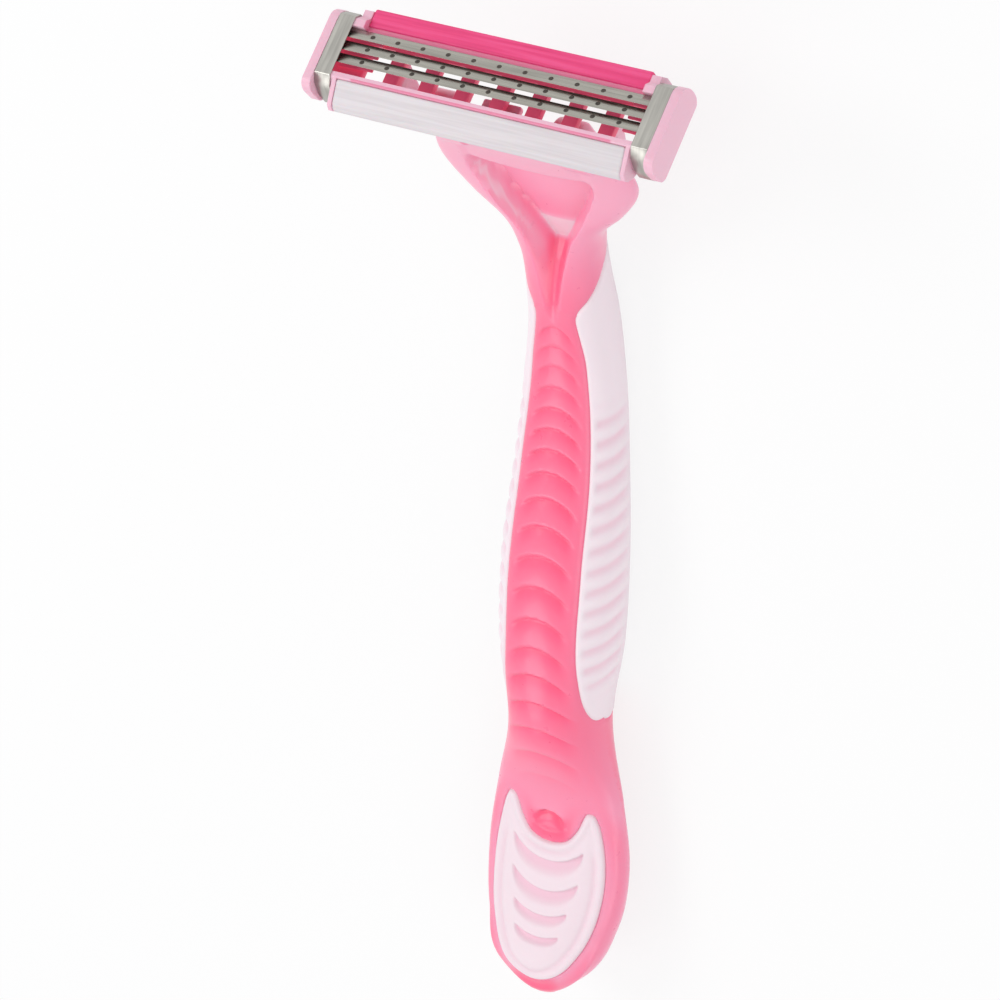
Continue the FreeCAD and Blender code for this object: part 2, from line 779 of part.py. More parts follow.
def yoke_gap(sheet):
    """Round-bottomed opening between the arms, drawn in the head frame."""
    height = 8.0
    low = sheet.pivot_y - height / 2
    base = Vector(0, low, sheet.pivot_z)
    barrel = Part.makeCylinder(sheet.gap_radius, height, base, Vector(0, 1, 0))
    above = Part.makeBox(
        2 * sheet.gap_radius, height, 6, Vector(-sheet.gap_radius, low, sheet.pivot_z)
    )
    return barrel.fuse(above)


def tongue_solid(sheet):
    """Flat springy tongue with a wider foot that bears on the back of the housing."""
    thick = sheet.tongue_thick
    low = sheet.pivot_y - thick / 2
    outline = [
        Vector(-sheet.tongue_half_root, low, -sheet.tongue_root),
        Vector(sheet.tongue_half_root, low, -sheet.tongue_root),
        Vector(sheet.tongue_half_tip, low, -sheet.tongue_tip),
        Vector(-sheet.tongue_half_tip, low, -sheet.tongue_tip),
    ]
    blade = Part.Face(Part.makePolygon(outline + outline[:1])).extrude(Vector(0, thick, 0))
    foot = Part.makeBox(
        2 * sheet.tongue_half_tip, 2 * sheet.tongue_foot, thick,
        Vector(-sheet.tongue_half_tip, sheet.pivot_y - sheet.tongue_foot, -sheet.tongue_tip - thick),
    )
    return blade.fuse(foot).removeSplitter()


def neck_channel():
    """Tapered round-bottomed channel down the front of the neck, between the arms' roots."""
    low = Vector(0, 26.0, 10.4)
    high = Vector(0, 42.0, 17.6)
    return Part.makeCone(0.6, 3.6, (high - low).Length, low, high - low)


def place_shape(doc, name, shape):
    feature = doc.addObject("Part::Feature", name)
    feature.Label = name
    feature.Shape = shape
    return feature


def make_handle(doc, sheet):
    """Hard core with its yoke, soft sleeve, soft tail pad and return tongue."""
    blank = handle_blank(sheet)
    sleeve = sleeve_solid(sheet, blank)
    pad = pad_solid(sheet, blank)
    head = head_place(sheet)
    arms = [arm.transformGeometry(head.Matrix) for arm in yoke_arms(sheet)]
    gap = yoke_gap(sheet).transformGeometry(head.Matrix)
    tongue = tongue_solid(sheet)
    tongue_there = tongue.transformGeometry(head.Matrix)
    core = blank.cut([gap, neck_channel()])
    core = core.fuse(arms)
    core = core.cut([sleeve, pad, tongue_there])
    pad = pad.cut(pad_grooves(sheet))
    tongue_part = place_shape(doc, "return_tongue", tongue)
    tongue_part.Placement = head
    return [
        place_shape(doc, "handle_core", core),
        place_shape(doc, "grip_sleeve", sleeve),
        place_shape(doc, "tail_pad", pad),
        tongue_part,
    ]


# ---------------------------------------------------------------------------------- check and save

def check(doc, parts):
    """Stop on any failed object and on any sub-part that isn't one valid closed solid."""
    for thing in doc.Objects:
        if "Invalid" in thing.State or "Error" in thing.State:
            raise RuntimeError("%s failed: %s" % (thing.Label, thing.State))
    for part in parts:
        shape = part.Shape
        if shape.isNull() or not shape.isValid() or len(shape.Solids) != 1:
            raise RuntimeError("%s isn't one valid solid" % part.Label)


def build():
    doc = FreeCAD.newDocument("cartridge_razor")
    sheet = write_sheet(doc)
    parts = make_handle(doc, sheet)
    parts += make_cartridge_frame(doc, sheet)
    parts += make_lubricating_strip(doc, sheet)
    parts += make_guard_strip(doc, sheet)
    for word, side in (("left", -1), ("right", 1)):
        parts += make_clip(doc, sheet, "clip_" + word, side)
    for number in range(1, int(sheet.blade_count) + 1):
        parts += make_blade(doc, sheet, number)
        parts += make_blade_support(doc, sheet, number)
        for word, side in (("left", -1), ("right", 1)):
            parts += make_blade_spring(doc, sheet, word, side, number)
    doc.recompute()
    check(doc, parts)
    os.makedirs("parts", exist_ok=True)
    for part in parts:
        part.Shape.exportStep("parts/%s.step" % part.Label)
        box = part.Shape.BoundBox
        print("%-24s %8.2f mm3  x %.2f..%.2f  y %.2f..%.2f  z %.2f..%.2f" % (
            part.Label, part.Shape.Volume,
            box.XMin, box.XMax, box.YMin, box.YMax, box.ZMin, box.ZMax,
        ))


build()
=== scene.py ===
import bpy
import math
import numpy as np
from mathutils import Matrix, Vector


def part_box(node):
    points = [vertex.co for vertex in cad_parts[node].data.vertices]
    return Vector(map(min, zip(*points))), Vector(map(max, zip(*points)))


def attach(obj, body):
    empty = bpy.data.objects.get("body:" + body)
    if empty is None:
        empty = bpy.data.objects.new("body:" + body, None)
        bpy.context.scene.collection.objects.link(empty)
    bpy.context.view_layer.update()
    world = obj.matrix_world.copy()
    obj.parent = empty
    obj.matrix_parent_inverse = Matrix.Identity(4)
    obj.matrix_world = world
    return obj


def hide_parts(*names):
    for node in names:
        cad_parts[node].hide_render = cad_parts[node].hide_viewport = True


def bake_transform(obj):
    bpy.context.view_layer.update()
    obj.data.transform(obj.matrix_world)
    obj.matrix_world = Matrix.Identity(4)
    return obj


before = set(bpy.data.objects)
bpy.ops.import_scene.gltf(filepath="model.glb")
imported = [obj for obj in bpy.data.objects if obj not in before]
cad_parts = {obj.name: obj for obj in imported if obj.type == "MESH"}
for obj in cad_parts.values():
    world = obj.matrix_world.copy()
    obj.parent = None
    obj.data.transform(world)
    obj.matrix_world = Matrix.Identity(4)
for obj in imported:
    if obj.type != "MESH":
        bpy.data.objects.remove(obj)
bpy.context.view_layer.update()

MM = 0.001

# ------------------------------------------------------------------ table, light and camera
# The razor lies on its back on a plain white table, under one broad soft lamp from the upper
# left, a weaker one from the right and an even pale sky.

def linear(red, green, blue):
    """A colour mixed as 0-255 paint values, in the numbers a shader socket takes."""
    def one(value):
        value /= 255
        return value / 12.92 if value <= 0.04045 else ((value + 0.055) / 1.055) ** 2.4
    return (one(red), one(green), one(blue), 1.0)


def seen_directly(nodes, links):
    """1 where the eye, a mirror image or clear plastic looks at the background."""
    path = nodes.new("ShaderNodeLightPath")
    first = nodes.new("ShaderNodeMath")
    first.operation = "MAXIMUM"
    links.new(path.outputs["Is Camera Ray"], first.inputs[0])
    links.new(path.outputs["Is Glossy Ray"], first.inputs[1])
    both = nodes.new("ShaderNodeMath")
    both.operation = "MAXIMUM"
    links.new(first.outputs[0], both.inputs[0])
    links.new(path.outputs["Is Transmission Ray"], both.inputs[1])
    return both.outputs[0]


bpy.ops.mesh.primitive_plane_add(size=6, location=(0, 0, -0.00003))
table = bpy.context.object
table.name = "table"
table_paint = bpy.data.materials.new("table_white")
table_paint.use_nodes = True
nodes, links = table_paint.node_tree.nodes, table_paint.node_tree.links
nodes.clear()
table_out = nodes.new("ShaderNodeOutputMaterial")
table_mix = nodes.new("ShaderNodeMixShader")
table_lit = nodes.new("ShaderNodeBsdfDiffuse")
table_lit.inputs["Color"].default_value = (0.9, 0.9, 0.9, 1)
table_glow = nodes.new("ShaderNodeEmission")
table_glow.inputs["Color"].default_value = (1, 1, 1, 1)
table_share = nodes.new("ShaderNodeMath")
table_share.operation = "MULTIPLY"
table_share.inputs[1].default_value = 0.8
links.new(seen_directly(nodes, links), table_share.inputs[0])
links.new(table_share.outputs[0], table_mix.inputs[0])
links.new(table_lit.outputs[0], table_mix.inputs[1])
links.new(table_glow.outputs[0], table_mix.inputs[2])
links.new(table_mix.outputs[0], table_out.inputs["Surface"])
table.data.materials.append(table_paint)

sky = bpy.data.worlds.new("pale_sky")
bpy.context.scene.world = sky
sky.use_nodes = True
nodes, links = sky.node_tree.nodes, sky.node_tree.links
sky_colour = nodes["Background"]
sky_even = nodes.new("ShaderNodeMix")
sky_even.data_type = "RGBA"
sky_even.inputs["A"].default_value = (0.69, 0.69, 0.70, 1)
sky_even.inputs["B"].default_value = (1, 1, 1, 1)
links.new(seen_directly(nodes, links), sky_even.inputs["Factor"])
links.new(sky_even.outputs["Result"], sky_colour.inputs["Color"])
bpy.context.scene.view_settings.view_transform = "Standard"


def soft_lamp(name, place, aim, size, power):
    lamp = bpy.data.lights.new(name, "AREA")
    lamp.shape = "SQUARE"
    lamp.size = size
    lamp.energy = power
    stand = bpy.data.objects.new(name, lamp)
    bpy.context.scene.collection.objects.link(stand)
    stand.location = place
    stand.rotation_euler = (Vector(aim) - Vector(place)).to_track_quat("-Z", "Y").to_euler()
    return stand


soft_lamp("window_lamp", (-0.32, 0.22, 0.42), (0, 0, 0.01), 0.28, 0.80)
soft_lamp("fill_lamp", (0.42, -0.10, 0.36), (0, 0, 0.01), 0.35, 0.54)
soft_lamp("foot_lamp", (-0.22, -0.18, 0.42), (0, 0.05, 0.02), 0.2, 0.28)

eye = bpy.data.cameras.new("camera")
eye.lens = 144
eye.sensor_width = 36
camera = bpy.data.objects.new("camera", eye)
bpy.context.scene.collection.objects.link(camera)
camera.location = (0.192926, 0.201978, 0.340283)
camera.rotation_euler = [math.radians(turn) for turn in (-26.9645, 31.3252, 0.6637)]
bpy.context.scene.camera = camera

# ------------------------------------------------------------------ handle core
# The stiff half of a two-shot handle, moulded in clear-tinted pink polypropylene: a flat tail, a
# slim waist with shingled thumb scallops down its front, and a neck that opens into a yoke.
# The front face shows everywhere; the sides and back are sunk under the soft second shot.

STATIONS = (
    # along, height, half width, half depth, lean
    (-58.5, 8.9, 2.2, 1.1, 0), (-55.2, 8.2, 5.9, 3.4, 0), (-50, 6.7, 8.1, 3.8, 0),
    (-43, 5.7, 8.95, 3.0, 0), (-34, 5.5, 7.9, 2.8, 0), (-24, 6.0, 5.7, 5.4, 0),
    (-14, 6.0, 6.9, 5.9, 0), (-4, 5.6, 7.1, 5.6, 0), (7, 4.6, 6.4, 4.7, 0),
    (17, 4.2, 5.6, 4.2, 0), (25, 4.8, 4.7, 4.3, 8), (30, 6.2, 4.5, 3.9, 20),
    (34.2, 7.5, 4.9, 3.4, 27), (37.7, 9.1, 6.3, 3.0, 32), (40.5, 10.7, 9.3, 2.7, 35),
    (43.9, 12.6, 11.7, 2.3, 39), (46.7, 14.6, 11.3, 2.0, 43), (48.2, 16.0, 10.3, 1.9, 44),
)
SQUARENESS = 2.3
TIP_ROUNDING = 0.35
CROWN_ROUNDING = 0.5

station_table = np.array(STATIONS, float)
station_reach = np.concatenate(
    ([0], np.cumsum(np.hypot(np.diff(station_table[:, 0]), np.diff(station_table[:, 1]))))
)


def smooth_through(knots, values, at):
    """A soft curve through every value, as a draughtsman's spline bends through its weights."""
    slopes = np.gradient(values, knots, axis=0)
    place = np.clip(np.searchsorted(knots, at, side="right") - 1, 0, len(knots) - 2)
    span = (knots[place + 1] - knots[place])[:, None]
    part = ((at - knots[place])[:, None]) / span
    first, last = values[place], values[place + 1]
    return (
        (2 * part**3 - 3 * part**2 + 1) * first
        + (part**3 - 2 * part**2 + part) * span * slopes[place]
        + (3 * part**2 - 2 * part**3) * last
        + (part**3 - part**2) * span * slopes[place + 1]
    )


def ease(low, high, value):
    """0 below low, 1 above high and a soft step between."""
    part = np.clip((value - low) / (high - low), 0, 1)
    return part * part * (3 - 2 * part)


def handle_skin(down, around):
    """Points, outward directions, fore-and-aft direction and station numbers of the handle's skin."""
    rows = smooth_through(station_reach, station_table, np.clip(down, 0, station_reach[-1]))
    along, height, wide, deep, lean = rows.T
    past_tip = np.clip(-down, 0, 1)
    past_crown = np.clip(down - station_reach[-1], 0, 1)
    shrink = np.sqrt(np.clip(1 - (past_tip + past_crown) ** 2, 0, 1))
    lean = np.radians(lean)
    along = along - TIP_ROUNDING * past_tip + CROWN_ROUNDING * past_crown * np.cos(lean)
    height = height + CROWN_ROUNDING * past_crown * np.sin(lean)
    side = np.cos(around)
    lift = np.sign(np.sin(around)) * (1 - np.abs(side) ** SQUARENESS).clip(0) ** (1 / SQUARENESS)
    across = (wide * shrink)[:, None] * side[None, :]
    rise = (deep * shrink)[:, None] * lift[None, :]
    points = np.stack((
        across,
        along[:, None] - rise * np.sin(lean)[:, None],
        height[:, None] + rise * np.cos(lean)[:, None],
    ), axis=2)
    outward = np.cross(np.gradient(points, axis=0), np.gradient(points, axis=1))
    length = np.linalg.norm(outward, axis=2, keepdims=True)
    outward = outward / np.where(length < 1e-9, 1, length)
    middle = len(around) // 4
    if outward[len(down) // 2, middle, 2] < 0:
        outward = -outward
    upright = np.stack((np.zeros(len(down)), -np.sin(lean), np.cos(lean)), axis=1)[:, None, :]
    return points, outward, np.broadcast_to(upright, points.shape), along[:, None] + 0 * across


def rolled_sheet(name, rows, columns):
    """A flat fine net, and each knot's row and column, ready to be wrapped round the handle."""
    bpy.ops.object.select_all(action="DESELECT")
    bpy.ops.mesh.primitive_grid_add(x_subdivisions=rows, y_subdivisions=columns, size=1)
    piece = bpy.context.object
    piece.name = name
    knots = np.empty(len(piece.data.vertices) * 3)
    piece.data.vertices.foreach_get("co", knots)
    knots = knots.reshape(-1, 3) + 0.5
    row = np.rint(knots[:, 0] * rows).astype(int)
    column = np.rint(knots[:, 1] * columns).astype(int)
    return piece, row, column


def wrap(piece, points, row, column):
    """Lays each knot of the net on its own point, given in millimetres."""
    piece.data.vertices.foreach_set("co", (points[row, column] * MM).ravel())
    piece.data.update()


def paint_depth(piece, name, values):
    """A number on every point, for the colour to follow."""
    layer = piece.data.attributes.new(name, "FLOAT", "POINT")
    layer.data.foreach_set("value", np.asarray(values, float).ravel())


def close_seams(piece, gap=0.00001):
    """Welds points that lie on each other and turns every face outward."""
    bpy.ops.object.select_all(action="DESELECT")
    piece.select_set(True)
    bpy.context.view_layer.objects.active = piece
    bpy.ops.object.mode_set(mode="EDIT")
    bpy.ops.mesh.select_all(action="SELECT")
    bpy.ops.mesh.remove_doubles(threshold=gap)
    bpy.ops.mesh.normals_make_consistent(inside=False)
    bpy.ops.object.mode_set(mode="OBJECT")


def cut_away(piece, outside):
    """Deletes the points of a net that lie outside the moulding's outline."""
    bpy.ops.object.mode_set(mode="EDIT")
    bpy.ops.mesh.select_mode(type="VERT")
    bpy.ops.mesh.select_all(action="DESELECT")
    bpy.ops.object.mode_set(mode="OBJECT")
    piece.data.vertices.foreach_set("select", outside)
    bpy.ops.object.mode_set(mode="EDIT")
    bpy.ops.mesh.delete(type="VERT")
    bpy.ops.object.mode_set(mode="OBJECT")


def level_floor(points, soft=0.25):
    """The underside is moulded flat where the handle stands; its rim is slightly rounded."""
    height = points[..., 2].clip(-2 * soft)
    points[..., 2] = np.where(height < 2 * soft, (height + 2 * soft) ** 2 / (8 * soft), height)
    return points


# Where the hard front band, the soft sleeve and the tail pad meet.
BAND = ((-27.5, 7.6), (-22.5, 5.5), (-16, 4.6), (-4, 4.5), (9, 4.2), (20, 3.3), (28.5, 2.5),
        (32, 3.6), (36, 6.5))
band_table = np.array(BAND, float)


def band_half(along):
    flat = np.clip(np.ravel(along), BAND[0][0], BAND[-1][0])
    half = smooth_through(band_table[:, 0], band_table[:, 1:], flat)[:, 0]
    return half.reshape(np.shape(along))


# The sleeve's low end is a round tip on each flank; its high end slants forward to the front.
TIP_MIDDLE = (-19, 5.5)
TIP_REACH = (4.3, 6.4)
TIP_STEEPNESS = 5.4
SLANT_FROM = (27, 9)
SLANT_WAY = Vector((-4, -8.5)).normalized()
SLEEVE_TOP = 35.5
SLEEVE_CORNER = 0.9


def inside_sleeve(points, front):
    """Distance inside the sleeve's outline; below nought is outside it."""
    x, y, z = points[..., 0], points[..., 1], points[..., 2]
    slope = (band_half(y + 0.1) - band_half(y - 0.1)) / 0.2
    beside = (np.abs(x) - band_half(y)) / np.sqrt(1 + slope**2)
    widest = np.abs(points[:, :1, 0])
    round_side = (widest - band_half(y)) / np.sqrt(1 + slope**2) + np.abs(z - points[:, :1, 2])
    beside = np.where(front, beside, round_side)
    tip_along, tip_up = (y - TIP_MIDDLE[0]) / TIP_REACH[0], (z - TIP_MIDDLE[1]) / TIP_REACH[1]
    low = TIP_STEEPNESS * (1 - np.hypot(tip_along, tip_up))
    low = np.where(y > TIP_MIDDLE[0], 9.0, low)
    slant = (y - SLANT_FROM[0]) * SLANT_WAY.x + (z - SLANT_FROM[1]) * SLANT_WAY.y
    ends = np.minimum(np.minimum(slant, SLEEVE_TOP - y), low)
    corner = np.clip(SLEEVE_CORNER - np.abs(ends - beside), 0, SLEEVE_CORNER)
    return np.minimum(ends, beside) - corner**2 / (4 * SLEEVE_CORNER)


PAD_OUTLINE = (
    (0, -39.5), (2.2, -38.9), (3.5, -37.2), (4.2, -35.5), (4.65, -34.75), (5.5, -34.7),
    (6.05, -35.6), (6.7, -38), (7.3, -43), (6.75, -48.8), (5.5, -52.2), (3.6, -54.9),
    (1.6, -56.2), (0, -56.6),
)


def pad_line():
    """The pad's whole outline as one closed soft line, notch at the top and round at the heel."""
    right = [Vector((x, y, 0)) for x, y in PAD_OUTLINE]
    left = [Vector((-point.x, point.y, 0)) for point in reversed(right[1:-1])]
    ring = np.array([point.to_tuple()[:2] for point in right + left])
    count = len(ring)
    closed = np.vstack((ring[-3:], ring, ring[:4]))
    reach = np.concatenate(([0], np.cumsum(np.linalg.norm(np.diff(closed, axis=0), axis=1) ** 0.7)))
    at = np.linspace(reach[3], reach[3 + count], 260)[:-1]
    return smooth_through(reach, closed, at)


def inside_pad(x, y):
    """Distance inside the pad's outline, looking straight at the tail."""
    line = pad_line()
    flat = np.stack((np.ravel(x), np.ravel(y)), axis=1)
    near = np.full(len(flat), 1e9)
    within = np.zeros(len(flat), bool)
    for start, end in zip(line, np.roll(line, -1, axis=0)):
        run = end - start
        part = np.clip(((flat - start) @ run) / (run @ run), 0, 1)
        near = np.minimum(near, np.linalg.norm(flat - start - part[:, None] * run, axis=1))
        crosses = (start[1] > flat[:, 1]) != (end[1] > flat[:, 1])
        if abs(run[1]) > 1e-9:
            left_of = flat[:, 0] < start[0] + (flat[:, 1] - start[1]) * run[0] / run[1]
            within ^= crosses & left_of
    return np.where(within, near, -near).reshape(np.shape(x))


# The shingled thumb scallops: crisp arched lip towards the head, dish fading towards the tail.
LIPS = (24.8, 22.4, 20.0, 17.5, 15.0, 12.6, 10.2, 7.6, 4.7, 1.6, -1.8, -5.4, -9.2, -12.8,
        -16.2, -19.7, -23.2, -26.7, -30.2, -33.7)
SCALLOP_DEEP = 0.44
SCALLOP_ARCH = 1.9
DIMPLE_DEEP = 0.6


def scallop_depth(x, y, front):
    off = np.abs(x) / (band_half(np.clip(y, -22, 25)) * 0.86)
    lifted = y + SCALLOP_ARCH * off**2.2
    count = np.interp(-lifted, -np.array(LIPS), np.arange(len(LIPS)))
    part = count - np.floor(count)
    dish = ease(0, 0.12, part) * (1 - part) ** 1.7
    reach = ease(LIPS[0] + 0.02, LIPS[0] - 0.02, lifted) * ease(-34, -19, y)
    size = 0.6 + 0.4 * ease(22, 8, y)
    edge = 1 - ease(0.66, 1.04, off)
    return np.where(front, SCALLOP_DEEP * size * dish * reach * edge, 0)


# The cut down the front of the neck: a narrow channel that opens into a flat-floored hollow.
NECK_CUT = (
    # along, depth, half width of the floor, half width at the rim
    (26.0, 0.0, 0.05, 0.5), (27.5, 0.25, 0.05, 0.9), (29.5, 0.75, 0.1, 1.25),
    (31.5, 1.35, 0.15, 1.6), (33.0, 2.1, 0.2, 1.9), (34.6, 3.5, 0.45, 2.3),
    (36.9, 3.25, 1.9, 3.1), (40.4, 3.05, 4.3, 5.5), (44.2, 2.9, 6.3, 7.6),
    (45.9, 0.25, 6.6, 7.9), (50.0, 0.2, 6.6, 7.9),
)


def neck_cut(x, along, front):
    """Depth of the neck's cut, and 1 on its floor fading to 0 at its rims."""
    stops, deeps, floors, rims = np.array(NECK_CUT).T
    deep = np.interp(along, stops, deeps)
    floor = np.interp(along, stops, floors)
    rim = np.interp(along, stops, rims)
    wall = 1 - ease(0, 1, (np.abs(x) - floor) / (rim - floor))
    return np.where(front, deep * wall, 0), wall


CORE_ROWS = 516
FRONT_COLUMNS = 106
BACK_COLUMNS = 44
CORE_COLUMNS = FRONT_COLUMNS + BACK_COLUMNS
SLEEVE_BED = 0.34
PAD_BED = 0.55
core_down = np.linspace(-1, station_reach[-1] + 1, CORE_ROWS + 1)
core_around = np.concatenate((
    np.linspace(0, math.pi, FRONT_COLUMNS + 1)[:-1],
    np.linspace(math.pi, 2 * math.pi, BACK_COLUMNS + 1),
))
core, row, column = rolled_sheet("handle_body", CORE_ROWS, CORE_COLUMNS)
skin, outward, upright, along = handle_skin(core_down, core_around)
front = np.broadcast_to((core_around < math.pi)[None, :], along.shape)
x, y = skin[..., 0], skin[..., 1]
covered = inside_sleeve(skin, front)
under_pad = np.where(front, inside_pad(x, np.clip(y, -70, -20)), -9)
scallops = scallop_depth(x, y, front)
hollow, hollow_wall = neck_cut(x, along, front)
seam_arch = y - 27.1 + 0.10 * x**2
seam_ridge = np.where(front, 0.07 * np.exp(-np.square(seam_arch / 0.16)), 0)
below_lip = -35.5 - 0.25 * x**2 - y
dimple = ease(0, 0.4, below_lip) * ease(1.7, 0.5, below_lip) * ease(2.3, 0.8, np.abs(x))
dimple = np.where(front, DIMPLE_DEEP * dimple, 0)
inboard = ease(0.97, 0.86, np.abs(np.cos(core_around)))[None, :]
swell = np.where(front, 0.3 * np.exp(-np.square((under_pad + 1.5) / 0.65)), 0)
swell = swell * ease(-37, -39, y) * inboard
sunk = (
    scallops + dimple - seam_ridge - swell
    + SLEEVE_BED * ease(-0.02, 0.30, covered) + 0.08 * np.exp(-np.square(covered / 0.18))
    + PAD_BED * ease(-0.05, 0.35, under_pad)
)
shaped = skin - outward * sunk[..., None] - upright * hollow[..., None]
wrap(core, level_floor(shaped), row, column)

# Colour follows how much plastic the light has crossed: pale at thin lobes, with painted shade deep in
# the cuts and painted highlights on the neck.
length_tint = np.interp(
    y, [-58, -50, -42, -36, -30, -24, -10, 24, 28, 33, 37, 42, 50],
    [0.30, 0.32, 0.34, 0.40, 0.52, 0.60, 0.62, 0.62, 0.56, 0.41, 0.31, 0.22, 0.17],
)
edge_pale = ease(0.80, 1.0, np.abs(np.cos(core_around)))[None, :] * ease(-18, -40, y) * 0.12
tint = length_tint - edge_pale * front
# Painted shade: a deeper crescent under each scallop's lip, fading down its dish.
tint = tint + 0.55 * scallops / SCALLOP_DEEP
# Painted shade: deeper pink down the neck's narrow channel, kept off most of the left wall, and a little
# on the hollow's floor.
pale_wall = np.where(x < 0, ease(0.55, 0.95, hollow_wall), 1) ** ease(29, 32, along)
tint = tint + 0.21 * ease(0.1, 0.6, hollow) * ease(35.4, 34.4, along) * pale_wall
tint = tint + 0.05 * ease(0.6, 2.4, hollow) * ease(37.2, 38.2, along)
# Painted highlight: the flat facet where the channel opens is painted almost white.
facet = ease(34.3, 34.7, along) * ease(37.6, 36.8, along) * ease(0.86, 0.98, hollow_wall)
tint = tint * (1 - 0.9 * np.where(front, facet, 0))
# Painted highlight: a pale band along the hollow's left wall.
left_wall_highlight = ease(0.05, 0.3, hollow_wall) * ease(0.75, 0.45, hollow_wall) * (x < 0)
tint = tint - 0.26 * left_wall_highlight * ease(32.5, 35.5, along) * ease(45.4, 43, along)
# Painted shade: a deeper pink band just outside the pad's edge.
pad_edge_shade = np.where(front, np.exp(-np.square((under_pad + 1.3) / 0.9)), 0)
tint = tint + 0.22 * pad_edge_shade * ease(-33, -38, y)
# Painted shade: deeper pink in the notch between the pad's horns.
notch = np.where(front, ease(0.2, -0.2, under_pad) * ease(3.4, 1.6, np.abs(x)), 0)
tint = tint + 0.36 * notch * ease(-35.5, -37.5, y)
# Painted shade: the dimple above the notch is painted deeper pink.
tint = tint + 0.5 * dimple / DIMPLE_DEEP
# The palest values, lowest of all on the facet's painted highlight.
palest = np.where(front & (facet > 0.5), 0.03, 0.06)
paint_depth(core, "plastic_depth_and_shade", np.maximum(tint, palest)[row, column].clip(0, 1))
close_seams(core)

# The opening between the arms, cut through the yoke: round below the pivot and square above.
HEAD = Matrix.Translation((0, 57, 22.4)) @ Matrix.Rotation(math.radians(-46), 4, "X")
PIVOT = Vector((0, -1.7, -6.6))
GAP_RADIUS = 5.8
GAP_TOP = 6.0
GAP_LONG = 9
GAP_TINT = 0.24
NEW_FACE = 0.02


def to_head(piece):
    """Carries a piece drawn in the head's own frame, in millimetres, to its real place."""
    piece.data.transform(piece.matrix_world)
    piece.matrix_world = Matrix.Identity(4)
    piece.data.transform(Matrix.Scale(MM, 4) @ HEAD)
    piece.data.update()


def apply_modifier(piece, kind, **settings):
    """Puts one modifier on a piece and makes its result the mesh."""
    bpy.ops.object.select_all(action="DESELECT")
    piece.select_set(True)
    bpy.context.view_layer.objects.active = piece
    step = piece.modifiers.new(kind.lower(), kind)
    for word, value in settings.items():
        setattr(step, word, value)
    bpy.ops.object.modifier_apply(modifier=step.name)


bpy.ops.object.select_all(action="DESELECT")
bpy.ops.mesh.primitive_cylinder_add(
    vertices=96, radius=GAP_RADIUS, depth=GAP_LONG, location=(0, PIVOT.y, PIVOT.z),
    rotation=(math.radians(90), 0, 0),
)
opening = bpy.context.object
for corner in opening.data.vertices:
    if corner.co.y > 0.001 and abs(corner.co.x) > 0.01:
        corner.co.x = math.copysign(GAP_RADIUS, corner.co.x)
    elif corner.co.y > 0.001:
        corner.co.y = GAP_TOP
to_head(opening)
close_seams(opening)
apply_modifier(core, "BOOLEAN", operation="DIFFERENCE", object=opening, solver="EXACT")
bpy.data.objects.remove(opening, do_unlink=True)
core_depth_and_shade = core.data.attributes["plastic_depth_and_shade"].data
depth_and_shade_values = np.empty(len(core.data.vertices))
core_depth_and_shade.foreach_get("value", depth_and_shade_values)
core_depth_and_shade.foreach_set("value", np.where(depth_and_shade_values < NEW_FACE, GAP_TINT, depth_and_shade_values))


ARM_RADIUS = 2.0
ARM_THICK = 3.2
ARM_ASIDE = 7.4
POST_STRETCH = 2.7
JOURNAL_RADIUS = 1.2
JOURNAL_LONG = 2.2
JOURNAL_ASIDE = 9.5
ARM_TINT = 0.2


def yoke_arm(side):
    """One arm: a rounded eye on a short post, with the journal that the head swings on."""
    bpy.ops.object.select_all(action="DESELECT")
    bpy.ops.mesh.primitive_cylinder_add(
        vertices=64, radius=ARM_RADIUS, depth=ARM_THICK, location=(side * ARM_ASIDE, PIVOT.y, PIVOT.z),
        rotation=(0, math.radians(90), 0),
    )
    arm = bpy.context.object
    bpy.ops.object.transform_apply(location=True, rotation=True, scale=True)
    for corner in arm.data.vertices:
        if corner.co.z < PIVOT.z - 0.01:
            corner.co.z = PIVOT.z + (corner.co.z - PIVOT.z) * POST_STRETCH
            aside = corner.co.y - PIVOT.y
            width = min(1, abs(aside) / ARM_RADIUS + 0.25)
            corner.co.y = PIVOT.y + math.copysign(ARM_RADIUS, aside) * width
    apply_modifier(arm, "BEVEL", width=0.35, segments=4, limit_method="ANGLE",
                   angle_limit=math.radians(50))
    bpy.ops.object.select_all(action="DESELECT")
    bpy.ops.mesh.primitive_cylinder_add(
        vertices=40, radius=JOURNAL_RADIUS, depth=JOURNAL_LONG,
        location=(side * JOURNAL_ASIDE, PIVOT.y, PIVOT.z),
        rotation=(0, math.radians(90), 0),
    )
    journal = bpy.context.object
    bpy.ops.object.transform_apply(location=True, rotation=True, scale=True)
    apply_modifier(journal, "BEVEL", width=0.2, segments=3, limit_method="ANGLE",
                   angle_limit=math.radians(50))
    bpy.ops.object.select_all(action="DESELECT")
    journal.select_set(True)
    arm.select_set(True)
    bpy.context.view_layer.objects.active = arm
    bpy.ops.object.join()
    to_head(arm)
    close_seams(arm)
    paint_depth(arm, "plastic_depth_and_shade", np.full(len(arm.data.vertices), ARM_TINT))
    return arm


arms = [yoke_arm(-1), yoke_arm(1)]
bpy.ops.object.select_all(action="DESELECT")
for piece in arms + [core]:
    piece.select_set(True)
bpy.context.view_layer.objects.active = core
bpy.ops.object.join()
bpy.ops.object.select_all(action="DESELECT")
core.select_set(True)
bpy.ops.object.shade_smooth_by_angle(angle=math.radians(38))


def new_material(name):
    """An empty plastic-type material and its shader."""
    material = bpy.data.materials.new(name)
    material.use_nodes = True
    return material, material.node_tree.nodes, material.node_tree.links, \
        material.node_tree.nodes["Principled BSDF"]


